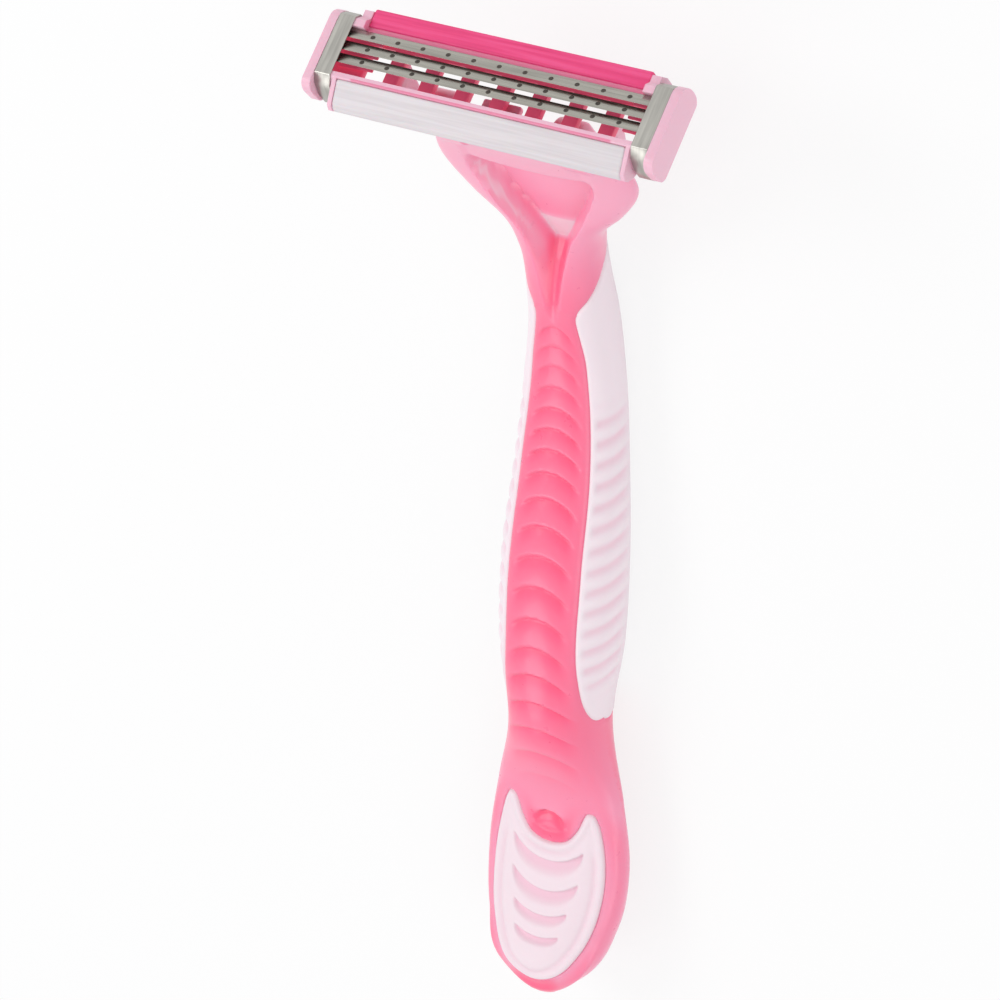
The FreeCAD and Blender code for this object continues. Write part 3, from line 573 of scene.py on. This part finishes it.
def object_place(nodes, links, stretch=(1, 1, 1), turn=(0, 0, 0)):
    """Places on the piece itself, stretched or turned to suit a grain."""
    where = nodes.new("ShaderNodeTexCoord")
    mapping = nodes.new("ShaderNodeMapping")
    mapping.inputs["Scale"].default_value = stretch
    mapping.inputs["Rotation"].default_value = turn
    links.new(where.outputs["Object"], mapping.inputs["Vector"])
    return mapping.outputs["Vector"]


def cloudiness(nodes, links, place, scale, detail=3.0):
    noise = nodes.new("ShaderNodeTexNoise")
    noise.inputs["Scale"].default_value = scale
    noise.inputs["Detail"].default_value = detail
    links.new(place, noise.inputs["Vector"])
    return noise.outputs["Fac"]


def ranged(nodes, links, value, low, high):
    """A pattern squeezed between two values."""
    spread = nodes.new("ShaderNodeMapRange")
    spread.inputs["To Min"].default_value = low
    spread.inputs["To Max"].default_value = high
    links.new(value, spread.inputs["Value"])
    return spread.outputs["Result"]


def colour_stops(nodes, links, value, stops):
    ramp = nodes.new("ShaderNodeValToRGB")
    ramp.color_ramp.elements[0].position = stops[0][0]
    ramp.color_ramp.elements[0].color = linear(*stops[0][1])
    ramp.color_ramp.elements[1].position = stops[-1][0]
    ramp.color_ramp.elements[1].color = linear(*stops[-1][1])
    for place, colour in stops[1:-1]:
        ramp.color_ramp.elements.new(place).color = linear(*colour)
    links.new(value, ramp.inputs["Fac"])
    return ramp.outputs["Color"]


def clothe(piece, material):
    """Gives the piece one material in place of any it came with."""
    piece.data.materials.clear()
    piece.data.materials.append(material)


def fine_bump(nodes, links, shader, pattern, height, strength=1.0):
    bump = nodes.new("ShaderNodeBump")
    bump.inputs["Strength"].default_value = strength
    bump.inputs["Distance"].default_value = height
    links.new(pattern, bump.inputs["Height"])
    links.new(bump.outputs["Normal"], shader.inputs["Normal"])


core_plastic, nodes, links, shader = new_material("clear_pink_plastic")
layer = nodes.new("ShaderNodeAttribute")
layer.attribute_name = "plastic_depth_and_shade"
swirl = cloudiness(nodes, links, object_place(nodes, links, (1, 0.35, 1)), 240)
swirl_share = ranged(nodes, links, swirl, -0.035, 0.035)
depth_and_shade_sum = nodes.new("ShaderNodeMath")
depth_and_shade_sum.operation = "ADD"
links.new(layer.outputs["Fac"], depth_and_shade_sum.inputs[0])
links.new(swirl_share, depth_and_shade_sum.inputs[1])
core_colour = colour_stops(nodes, links, depth_and_shade_sum.outputs[0], (
    (0.0, (243, 218, 228)), (0.04, (243, 214, 225)), (0.12, (247, 178, 201)), (0.30, (250, 160, 189)),
    (0.45, (252, 140, 172)), (0.62, (255, 117, 152)), (0.85, (255, 98, 139)),
    (1.0, (255, 90, 132)),
))
links.new(core_colour, shader.inputs["Base Color"])
core_rough = ranged(nodes, links, cloudiness(nodes, links, object_place(nodes, links), 900), 0.24, 0.36)
links.new(core_rough, shader.inputs["Roughness"])
shader.inputs["Subsurface Weight"].default_value = 0.22
shader.inputs["Subsurface Radius"].default_value = (1.0, 0.35, 0.45)
shader.inputs["Subsurface Scale"].default_value = 0.0016
shader.inputs["Coat Weight"].default_value = 0.15
shader.inputs["Coat Roughness"].default_value = 0.12
fine_bump(nodes, links, shader, cloudiness(nodes, links, object_place(nodes, links), 2600), 0.00001, 0.5)
clothe(core, core_plastic)
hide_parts("handle_core")
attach(core, "handle")

# ------------------------------------------------------------------ grip sleeve
# The second shot: a pale pink soft skin moulded over the core's back and flanks, standing a hair
# proud with rounded edges, and pressed with slanting lens-shaped finger ribs down both flanks.

RIB_STEP = 2.4
RIB_DEEP = 0.36
SLEEVE_PROUD = 0.10
SLEEVE_SUNK = 0.55
SLEEVE_THICK = 0.0007
SLEEVE_ROWS = 300
SLEEVE_COLUMNS = 176

sleeve_from = float(np.interp(-25.0, station_table[:, 0], station_reach))
sleeve_to = float(np.interp(40.0, station_table[:, 0], station_reach))
sleeve, row, column = rolled_sheet("grip_skin", SLEEVE_ROWS, SLEEVE_COLUMNS)
sleeve_down = np.linspace(sleeve_from, sleeve_to, SLEEVE_ROWS + 1)
sleeve_around = np.linspace(0, 2 * math.pi, SLEEVE_COLUMNS + 1)
skin, outward, upright, along = handle_skin(sleeve_down, sleeve_around)
front = np.broadcast_to((sleeve_around < math.pi)[None, :], along.shape)
x, y = skin[..., 0], skin[..., 1]
covered = inside_sleeve(skin, front)
turned = np.where(sleeve_around < math.pi, sleeve_around, sleeve_around - 2 * math.pi)
turned = np.where(np.abs(sleeve_around - math.pi) < math.pi / 2, math.pi - sleeve_around, turned)
flank = np.degrees(turned)[None, :] + 0 * along
rib_phase = (y + flank * 0.020) / RIB_STEP
lens = (0.5 + 0.5 * np.cos(2 * math.pi * rib_phase)) ** 1.6
rib_reach = ease(-22, 2, flank) * ease(56, 34, flank) * ease(17, 13, y) * ease(-20, -16, y)
ribs = lens * rib_reach
rib_share = ribs * ease(0.3, 0.9, covered)
rounded_edge = ease(-0.28, 0.34, covered)
sleeve_lift = (SLEEVE_SUNK + SLEEVE_PROUD) * rounded_edge - SLEEVE_SUNK - RIB_DEEP * rib_share
shaped = level_floor(skin + outward * sleeve_lift[..., None])
wrap(sleeve, shaped, row, column)
# Painted shade: the colour darkens to pinker in the rib grooves.
paint_depth(sleeve, "rib_depth", rib_share[row, column])
cut_away(sleeve, covered[row, column] < -0.45)
close_seams(sleeve)
apply_modifier(sleeve, "SOLIDIFY", thickness=SLEEVE_THICK, offset=-1)
bpy.ops.object.shade_smooth()

soft_grip, nodes, links, shader = new_material("soft_grip_rubber")
layer = nodes.new("ShaderNodeAttribute")
layer.attribute_name = "rib_depth"
grip_cloud = cloudiness(nodes, links, object_place(nodes, links), 350)
grip_sum = nodes.new("ShaderNodeMath")
grip_sum.operation = "ADD"
links.new(layer.outputs["Fac"], grip_sum.inputs[0])
links.new(ranged(nodes, links, grip_cloud, -0.08, 0.08), grip_sum.inputs[1])
links.new(colour_stops(nodes, links, grip_sum.outputs[0], (
    (0.0, (246, 231, 237)), (0.4, (245, 225, 233)), (1.0, (244, 212, 223)),
)), shader.inputs["Base Color"])
grip_grain = cloudiness(nodes, links, object_place(nodes, links), 1800)
links.new(ranged(nodes, links, grip_grain, 0.46, 0.62), shader.inputs["Roughness"])
shader.inputs["Subsurface Weight"].default_value = 0.15
shader.inputs["Subsurface Radius"].default_value = (1.0, 0.6, 0.7)
shader.inputs["Subsurface Scale"].default_value = 0.001
shader.inputs["Sheen Weight"].default_value = 0.15
shader.inputs["Sheen Roughness"].default_value = 0.5
fine_bump(nodes, links, shader, grip_grain, 0.000015, 0.6)
clothe(sleeve, soft_grip)
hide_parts("grip_sleeve")
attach(sleeve, "handle")

# ------------------------------------------------------------------ tail pad
# A shield of the same soft rubber let into the tail, with a raised rounded rim that follows its
# outline and four smile-shaped grooves that step down towards the heel.

PAD_ROWS = 190
PAD_COLUMNS = 150
SMILES = (
    # lowest point of the crisp upper edge, half chord, rise, thickness in the middle
    (-41.8, 4.55, 2.2, 2.0), (-45.4, 4.3, 1.8, 1.8), (-48.3, 3.5, 1.0, 1.3), (-50.85, 2.9, 0.65, 1.0),
)
SMILE_DEEP = 0.42
PAD_SUNK = 0.75
PAD_PROUD = 0.10
RIM_HIGH = 0.16
VALLEY_DEEP = 0.14
CUSHION_HIGH = 0.10
PAD_THICK = 0.0006

pad, row, column = rolled_sheet("tail_thumb_pad", PAD_ROWS, PAD_COLUMNS)
pad_down = np.linspace(2.2, float(np.interp(-34.0, station_table[:, 0], station_reach)), PAD_ROWS + 1)
pad_around = np.linspace(math.radians(8), math.radians(172), PAD_COLUMNS + 1)
skin, outward, upright, along = handle_skin(pad_down, pad_around)
x, y = skin[..., 0], skin[..., 1]
within = inside_pad(x, y)


def crescent(x, y, lowest, half, rise, thick):
    """1 just under the smile's upper edge, fading to 0 at its lower one."""
    radius = (half**2 + rise**2) / (2 * rise)
    below = np.hypot(x, y - lowest - radius) - radius
    width = thick * np.sqrt((1 - np.abs(x / half) ** 4).clip(0)) + 0.3
    fade = 1 - ease(0.35, 1, below / width)
    return ease(0, 0.22, below) * fade * ease(half + 0.1, half - 0.3, np.abs(x)) * (y < lowest + rise + 1)


smile = np.zeros_like(x)
for lowest, half, rise, thick in SMILES:
    smile = np.maximum(smile, crescent(x, y, lowest, half, rise, thick))
rim = RIM_HIGH * np.exp(-np.square((within - 0.62) / 0.34))
valley = np.exp(-np.square((within - 1.35) / 0.30)) * ease(-39, -41, y)
cushion = CUSHION_HIGH * ease(1.2, 3.0, within)
pad_lift = (
    (PAD_SUNK + PAD_PROUD) * ease(-0.30, 0.38, within) - PAD_SUNK
    + rim - VALLEY_DEEP * valley + cushion - SMILE_DEEP * smile
)
shaped = skin + outward * pad_lift[..., None]
wrap(pad, shaped, row, column)
# Painted shade: deeper pink under each smile's upper edge and in the valley inside the rim.
paint_depth(pad, "groove_depth", (smile + 0.35 * valley)[row, column])
cut_away(pad, within[row, column] < -0.5)
close_seams(pad)
apply_modifier(pad, "SOLIDIFY", thickness=PAD_THICK, offset=-1)
bpy.ops.object.shade_smooth()

soft_pad, nodes, links, shader = new_material("soft_pad_rubber")
layer = nodes.new("ShaderNodeAttribute")
layer.attribute_name = "groove_depth"
pad_cloud = cloudiness(nodes, links, object_place(nodes, links), 420)
pad_sum = nodes.new("ShaderNodeMath")
pad_sum.operation = "ADD"
links.new(layer.outputs["Fac"], pad_sum.inputs[0])
links.new(ranged(nodes, links, pad_cloud, -0.06, 0.06), pad_sum.inputs[1])
links.new(colour_stops(nodes, links, pad_sum.outputs[0], (
    (0.0, (241, 222, 229)), (0.4, (240, 212, 222)), (1.0, (240, 198, 213)),
)), shader.inputs["Base Color"])
pad_grain = cloudiness(nodes, links, object_place(nodes, links), 1800)
links.new(ranged(nodes, links, pad_grain, 0.45, 0.6), shader.inputs["Roughness"])
shader.inputs["Subsurface Weight"].default_value = 0.15
shader.inputs["Subsurface Radius"].default_value = (1.0, 0.6, 0.7)
shader.inputs["Subsurface Scale"].default_value = 0.001
shader.inputs["Sheen Weight"].default_value = 0.12
fine_bump(nodes, links, shader, pad_grain, 0.000015, 0.6)
clothe(pad, soft_pad)
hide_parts("tail_pad")
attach(pad, "handle")

# ------------------------------------------------------------------ return tongue
# A thin springy leaf moulded with the core; its wide foot leans on the back of the head and
# brings it back to the middle after each stroke.

LEAF_SIZE = (5.0, 0.9, 9.6)
LEAF_MIDDLE = -8.8
LEAF_ROOT_SPREAD = 1.2
LEAF_END_SPREAD = 0.88
FOOT_SIZE = (4.4, 2.4, 0.9)
FOOT_MIDDLE = -4.5
TONGUE_TINT = 0.3

bpy.ops.object.select_all(action="DESELECT")
bpy.ops.mesh.primitive_cube_add(size=1, location=(0, PIVOT.y, LEAF_MIDDLE))
tongue = bpy.context.object
tongue.name = "return_leaf"
tongue.scale = LEAF_SIZE
bpy.ops.object.transform_apply(location=True, rotation=True, scale=True)
for corner in tongue.data.vertices:
    corner.co.x *= LEAF_ROOT_SPREAD if corner.co.z < LEAF_MIDDLE else LEAF_END_SPREAD
apply_modifier(tongue, "BEVEL", width=0.22, segments=3)
bpy.ops.object.select_all(action="DESELECT")
bpy.ops.mesh.primitive_cube_add(size=1, location=(0, PIVOT.y, FOOT_MIDDLE))
foot = bpy.context.object
foot.scale = FOOT_SIZE
bpy.ops.object.transform_apply(location=True, rotation=True, scale=True)
apply_modifier(foot, "BEVEL", width=0.25, segments=3)
bpy.ops.object.select_all(action="DESELECT")
foot.select_set(True)
tongue.select_set(True)
bpy.context.view_layer.objects.active = tongue
bpy.ops.object.join()
bpy.ops.object.shade_smooth_by_angle(angle=math.radians(40))
to_head(tongue)
paint_depth(tongue, "plastic_depth_and_shade", np.full(len(tongue.data.vertices), TONGUE_TINT))
clothe(tongue, core_plastic)
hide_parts("return_tongue")
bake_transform(tongue)

# ------------------------------------------------------------------ cartridge frame
# The moulded head: end caps, side posts, the bay the blades hang in with its slotted floor, the
# ledge, the sill and the lip that carry the soft parts, and two lugs for the yoke's journals.


def round_outer_rim(piece, reach, radius, steps=6, corner=0.0):
    """Rounds the piece's two end faces: their outline's corners first, then the whole rim."""
    def bevel(chosen, size):
        bpy.ops.mesh.select_all(action="DESELECT")
        bpy.ops.mesh.select_mode(type="EDGE")
        bpy.ops.object.mode_set(mode="OBJECT")
        ends = [point.co.copy() for point in piece.data.vertices]
        for edge in piece.data.edges:
            edge.select = chosen(*(ends[i] for i in edge.vertices))
        bpy.ops.object.mode_set(mode="EDIT")
        bpy.ops.mesh.bevel(offset=size * MM, segments=steps, profile=0.5, clamp_overlap=True)
        bpy.ops.mesh.select_mode(type="VERT")

    def at_end(point):
        return abs(point.x) > reach * MM - 0.00001

    def along_corner(first, last):
        level = (first.yz - last.yz).length < 0.00001
        return level and (at_end(first) or at_end(last)) and abs(first.x - last.x) < 0.0015

    if corner:
        bevel(along_corner, corner)
    bevel(lambda first, last: at_end(first) and at_end(last), radius)


def rounded_copy(node, name, width, steps=3, angle=30, rim=None):
    """A fresh piece from a node's own shape, its sharp edges eased as a mould leaves them."""
    bpy.ops.object.select_all(action="DESELECT")
    piece = bpy.data.objects[node].copy()
    piece.data = bpy.data.objects[node].data.copy()
    piece.name = name
    for key in list(piece.keys()):
        if key.startswith("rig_"):
            del piece[key]
    bpy.context.scene.collection.objects.link(piece)
    place = bpy.data.objects[node].matrix_world.copy()
    piece.parent = None
    piece.data.transform(place)
    piece.matrix_world = Matrix.Identity(4)
    piece.select_set(True)
    bpy.context.view_layer.objects.active = piece
    bpy.ops.object.mode_set(mode="EDIT")
    bpy.ops.mesh.select_mode(type="VERT")
    bpy.ops.mesh.select_all(action="SELECT")
    bpy.ops.mesh.remove_doubles(threshold=0.000002)
    bpy.ops.mesh.tris_convert_to_quads(face_threshold=math.radians(1), shape_threshold=math.radians(180))
    if rim:
        round_outer_rim(piece, *rim)
    bpy.ops.object.mode_set(mode="OBJECT")
    bpy.ops.object.shade_smooth()
    apply_modifier(piece, "BEVEL", width=width, segments=steps, limit_method="ANGLE",
                   angle_limit=math.radians(angle), miter_outer="MITER_ARC",
                   harden_normals=True)
    return piece


housing = rounded_copy("cartridge_frame", "head_housing", 0.00014, rim=(20.4, 0.55, 6, 0.9))
housing_plastic, nodes, links, shader = new_material("head_pink_plastic")
head_place = object_place(nodes, links)


def measured(nodes, links, place, direction, start):
    """Millimetres along one direction of the head from its face centre."""
    dot = nodes.new("ShaderNodeVectorMath")
    dot.operation = "DOT_PRODUCT"
    dot.inputs[1].default_value = [part / MM for part in direction]
    links.new(place, dot.inputs[0])
    less = nodes.new("ShaderNodeMath")
    less.operation = "SUBTRACT"
    less.inputs[1].default_value = start
    links.new(dot.outputs["Value"], less.inputs[0])
    return less.outputs[0]


def worked(nodes, links, kind, first, second):
    """One sum on two patterns, or on a pattern and a number."""
    step = nodes.new("ShaderNodeMath")
    step.operation = kind
    links.new(first, step.inputs[0])
    if isinstance(second, (int, float)):
        step.inputs[1].default_value = second
    else:
        links.new(second, step.inputs[1])
    return step.outputs[0]


def between(nodes, links, value, low, high):
    """0 at low, 1 at high, either way round."""
    spread = nodes.new("ShaderNodeMapRange")
    spread.inputs["From Min"].default_value = low
    spread.inputs["From Max"].default_value = high
    links.new(value, spread.inputs["Value"])
    return spread.outputs["Result"]


SIDEWAYS, UP_HEAD, OUT_OF_HEAD = (HEAD.to_3x3() @ axis for axis in Matrix.Identity(3))
head_out = measured(nodes, links, head_place, OUT_OF_HEAD, OUT_OF_HEAD.dot(HEAD.translation))
head_up = measured(nodes, links, head_place, UP_HEAD, UP_HEAD.dot(HEAD.translation))
head_side = worked(nodes, links, "ABSOLUTE", measured(nodes, links, head_place, SIDEWAYS, 0), 0)
in_bay = between(nodes, links, head_side, 19.3, 19.0)
in_bay = worked(nodes, links, "MULTIPLY", in_bay, between(nodes, links, head_up, -3.5, -3.2))
in_bay = worked(nodes, links, "MULTIPLY", in_bay, between(nodes, links, head_up, 2.9, 2.6))
in_bay = worked(nodes, links, "MULTIPLY", in_bay, between(nodes, links, head_out, -4.6, -3.8))
# Painted shade: the bay's deep floor is painted raspberry; the same mask drives a faint glow below.
bay_shade_and_glow = worked(nodes, links, "MULTIPLY", between(nodes, links, head_out, -0.9, -2.6), in_bay)
# Painted shade: the ledge under the glide strip is painted deeper pink.
inside_strip = between(nodes, links, head_side, 16.35, 16.2)
under_strip_shade = worked(nodes, links, "MULTIPLY", between(nodes, links, head_up, 2.0, 2.5), inside_strip)
under_strip_shade = worked(nodes, links, "MULTIPLY", under_strip_shade, 0.42)
# Painted shadow: a thin deeper pink line on the ledge along the guard's top edge.
inside_line = between(nodes, links, head_side, 15.3, 15.0)
line_away = worked(nodes, links, "ABSOLUTE", worked(nodes, links, "ADD", head_up, 3.40), 0)
guard_shadow_line = worked(nodes, links, "MULTIPLY", between(nodes, links, line_away, 0.16, 0.08), inside_line)
guard_shadow_line = worked(nodes, links, "MULTIPLY", guard_shadow_line, 0.45)
head_cloud = ranged(nodes, links, cloudiness(nodes, links, object_place(nodes, links), 700), -0.04, 0.04)
head_tint = worked(nodes, links, "ADD", bay_shade_and_glow, under_strip_shade)
head_tint = worked(nodes, links, "ADD", head_tint, guard_shadow_line)
head_tint = worked(nodes, links, "ADD", head_tint, head_cloud)
links.new(colour_stops(nodes, links, head_tint, (
    (0.0, (240, 190, 208)), (0.2, (238, 176, 198)), (0.5, (232, 125, 160)), (1.0, (222, 84, 122)),
)), shader.inputs["Base Color"])
# Painted light: the deep bay glows faintly raspberry, as light through its thin walls.
links.new(colour_stops(nodes, links, bay_shade_and_glow, ((0.0, (0, 0, 0)), (1.0, (205, 78, 108)))),
          shader.inputs["Emission Color"])
shader.inputs["Emission Strength"].default_value = 0.34
links.new(ranged(nodes, links, cloudiness(nodes, links, object_place(nodes, links), 1500), 0.30, 0.42),
          shader.inputs["Roughness"])
shader.inputs["Subsurface Weight"].default_value = 0.15
shader.inputs["Subsurface Radius"].default_value = (1.0, 0.4, 0.5)
shader.inputs["Subsurface Scale"].default_value = 0.0008
fine_bump(nodes, links, shader, cloudiness(nodes, links, object_place(nodes, links), 3000), 0.000008, 0.5)
clothe(housing, housing_plastic)
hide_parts("cartridge_frame")
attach(housing, "cartridge")

# ------------------------------------------------------------------ lubricating strip
# A bar of hot pink water-soluble polymer glued on the ledge above the blades; its face is drawn
# with faint lengthwise streaks from the extruder.

strip = rounded_copy("lubricating_strip", "glide_strip", 0.00022, 4)
strip_polymer, nodes, links, shader = new_material("glide_strip_polymer")
streaks = cloudiness(nodes, links, object_place(nodes, links, (0.03, 1, 1)), 2400, 4.0)
grains = cloudiness(nodes, links, object_place(nodes, links), 2600)
links.new(colour_stops(nodes, links, streaks, (
    (0.3, (226, 55, 117)), (0.5, (240, 68, 130)), (0.75, (248, 92, 150)),
)), shader.inputs["Base Color"])
links.new(ranged(nodes, links, grains, 0.42, 0.62), shader.inputs["Roughness"])
shader.inputs["Subsurface Weight"].default_value = 0.08
shader.inputs["Subsurface Scale"].default_value = 0.0004
fine_bump(nodes, links, shader, streaks, 0.00003, 0.7)
clothe(strip, strip_polymer)
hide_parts("lubricating_strip")
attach(strip, "cartridge")

# ------------------------------------------------------------------ guard bar
# An off-white soft bar under the blades that stretches the skin; it is overmoulded on the lip
# and its face carries fine lengthwise fins.

guard = rounded_copy("guard_strip", "guard_bar", 0.0002, 4, rim=(16.85, 0.8))
guard_rubber, nodes, links, shader = new_material("guard_soft_rubber")
fins = cloudiness(nodes, links, object_place(nodes, links, (0.03, 1, 1)), 3200, 2.0)
links.new(colour_stops(nodes, links, fins, (
    (0.35, (214, 207, 210)), (0.5, (219, 212, 215)), (0.65, (223, 217, 220)),
)), shader.inputs["Base Color"])
links.new(ranged(nodes, links, cloudiness(nodes, links, object_place(nodes, links), 1700), 0.42, 0.58),
          shader.inputs["Roughness"])
shader.inputs["Subsurface Weight"].default_value = 0.12
shader.inputs["Subsurface Scale"].default_value = 0.0006
fine_bump(nodes, links, shader, fins, 0.00002, 0.6)
clothe(guard, guard_rubber)
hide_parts("guard_strip")
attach(guard, "cartridge")

# ------------------------------------------------------------------ end clips
# Two bands of thin brushed aluminium, each bent over one end of the head and tucked behind it to
# hold the blades in the bay.


def brushed_metal(name, colour, rough_low, rough_high, grain, strength):
    """Bare metal with fine scratches along the piece's length."""
    material, nodes, links, shader = new_material(name)
    shader.inputs["Metallic"].default_value = 1.0
    scratches = cloudiness(nodes, links, object_place(nodes, links, grain), 3000, 4.0)
    patches = cloudiness(nodes, links, object_place(nodes, links), 260)
    worn = nodes.new("ShaderNodeMath")
    worn.operation = "ADD"
    links.new(ranged(nodes, links, scratches, 0.1, 0.9), worn.inputs[0])
    links.new(ranged(nodes, links, patches, -0.12, 0.12), worn.inputs[1])
    dark = tuple(int(value * 0.86) for value in colour)
    light = tuple(min(255, int(value * 1.1)) for value in colour)
    links.new(colour_stops(nodes, links, worn.outputs[0], ((0.25, dark), (0.5, colour), (0.75, light))),
              shader.inputs["Base Color"])
    links.new(ranged(nodes, links, scratches, rough_low, rough_high), shader.inputs["Roughness"])
    fine_bump(nodes, links, shader, scratches, 0.000004, strength)
    return material


clip_metal = brushed_metal("brushed_clip_metal", (176, 174, 168), 0.24, 0.42, (1, 0.05, 0.05), 0.6)
for side in ("left", "right"):
    clip = rounded_copy("clip_" + side, "end_clip_" + side, 0.00009, 4)
    clothe(clip, clip_metal)
    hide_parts("clip_" + side)
    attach(clip, "cartridge")

# ------------------------------------------------------------------ blades
# Three ground stainless strips, each spot-welded with eleven laser pulses to its bent carrier;
# the strip sinks away from its edge towards the glide strip.

BLADE_TILT = math.radians(22)
WELD_PITCH = 2.99
WELD_COUNT = 11
WELD_ASIDE = 0.12
WELD_PAST = -0.06
WELD_RADIUS = 0.27
HALF_THICK = 0.05

blade_steel = brushed_metal("ground_blade_steel", (168, 166, 158), 0.20, 0.34, (0.03, 1, 1), 0.5)
weld_burn, nodes, links, shader = new_material("weld_burn_oxide")
shader.inputs["Metallic"].default_value = 0.8
burn = cloudiness(nodes, links, object_place(nodes, links), 5200)
links.new(colour_stops(nodes, links, burn, ((0.3, (62, 58, 55)), (0.6, (92, 86, 80)))),
          shader.inputs["Base Color"])
links.new(ranged(nodes, links, burn, 0.35, 0.6), shader.inputs["Roughness"])

bpy.ops.object.select_all(action="DESELECT")
bpy.ops.mesh.primitive_uv_sphere_add(segments=16, ring_count=8, radius=1)
weld = bpy.context.object
weld.name = "weld_pulse"
for corner in weld.data.vertices:
    radius = math.hypot(corner.co.x, corner.co.y)
    burr = 0.006 + 0.016 * math.exp(-(((radius - 0.72) / 0.16) ** 2))
    corner.co.z = burr if corner.co.z > 0.05 else -0.02
    corner.co.x *= WELD_RADIUS
    corner.co.y *= WELD_RADIUS
for number in (1, 2, 3):
    strip_blade = rounded_copy("blade_%d" % number, "blade_strip_%d" % number, 0.00002, 2, 15)
    clothe(strip_blade, blade_steel)
    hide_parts("blade_%d" % number)
    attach(strip_blade, "blade_%d_unit" % number)
    low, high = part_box("blade_%d" % number)
    middle = HEAD.inverted() @ ((Vector(low) + Vector(high)) / 2 / MM)
    welds = []
    for step in range(WELD_COUNT):
        spot = weld.copy()
        spot.data = weld.data.copy()
        bpy.context.scene.collection.objects.link(spot)
        spot.data.transform(Matrix.Rotation(-BLADE_TILT, 4, "X"))
        spot.data.transform(Matrix.Translation((
            (step - (WELD_COUNT - 1) / 2) * WELD_PITCH + WELD_ASIDE,
            middle.y + WELD_PAST * math.cos(BLADE_TILT) + HALF_THICK * math.sin(BLADE_TILT),
            middle.z - WELD_PAST * math.sin(BLADE_TILT) + HALF_THICK * math.cos(BLADE_TILT),
        )))
        welds.append(spot)
    bpy.ops.object.select_all(action="DESELECT")
    for spot in welds:
        spot.select_set(True)
    bpy.context.view_layer.objects.active = welds[0]
    bpy.ops.object.join()
    row_of_welds = bpy.context.object
    row_of_welds.name = "weld_row_%d" % number
    to_head(row_of_welds)
    bpy.ops.object.shade_smooth()
    clothe(row_of_welds, weld_burn)
    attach(row_of_welds, "blade_%d_unit" % number)
bpy.data.objects.remove(weld, do_unlink=True)

# ------------------------------------------------------------------ blade carriers
# Bent strips of duller spring steel under each blade; their legs run down to the spring fingers.

carrier_steel = brushed_metal("carrier_steel", (140, 136, 130), 0.30, 0.5, (0.04, 1, 1), 0.5)
for number in (1, 2, 3):
    carrier = rounded_copy("blade_support_%d" % number, "blade_carrier_%d" % number, 0.00004, 2)
    clothe(carrier, carrier_steel)
    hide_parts("blade_support_%d" % number)
    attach(carrier, "blade_%d_unit" % number)

# ------------------------------------------------------------------ spring fingers
# Six thin fingers moulded with the end walls of the bay; they hold the carriers up and give
# under the skin's push.

for side in ("left", "right"):
    for number in (1, 2, 3):
        node = "blade_spring_%s_%d" % (side, number)
        finger = rounded_copy(node, "spring_finger_%s_%d" % (side, number), 0.0001, 3)
        clothe(finger, housing_plastic)
        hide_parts(node)
        low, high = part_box(node)
        middle = (Vector(low) + Vector(high)) / 2
        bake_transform(finger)
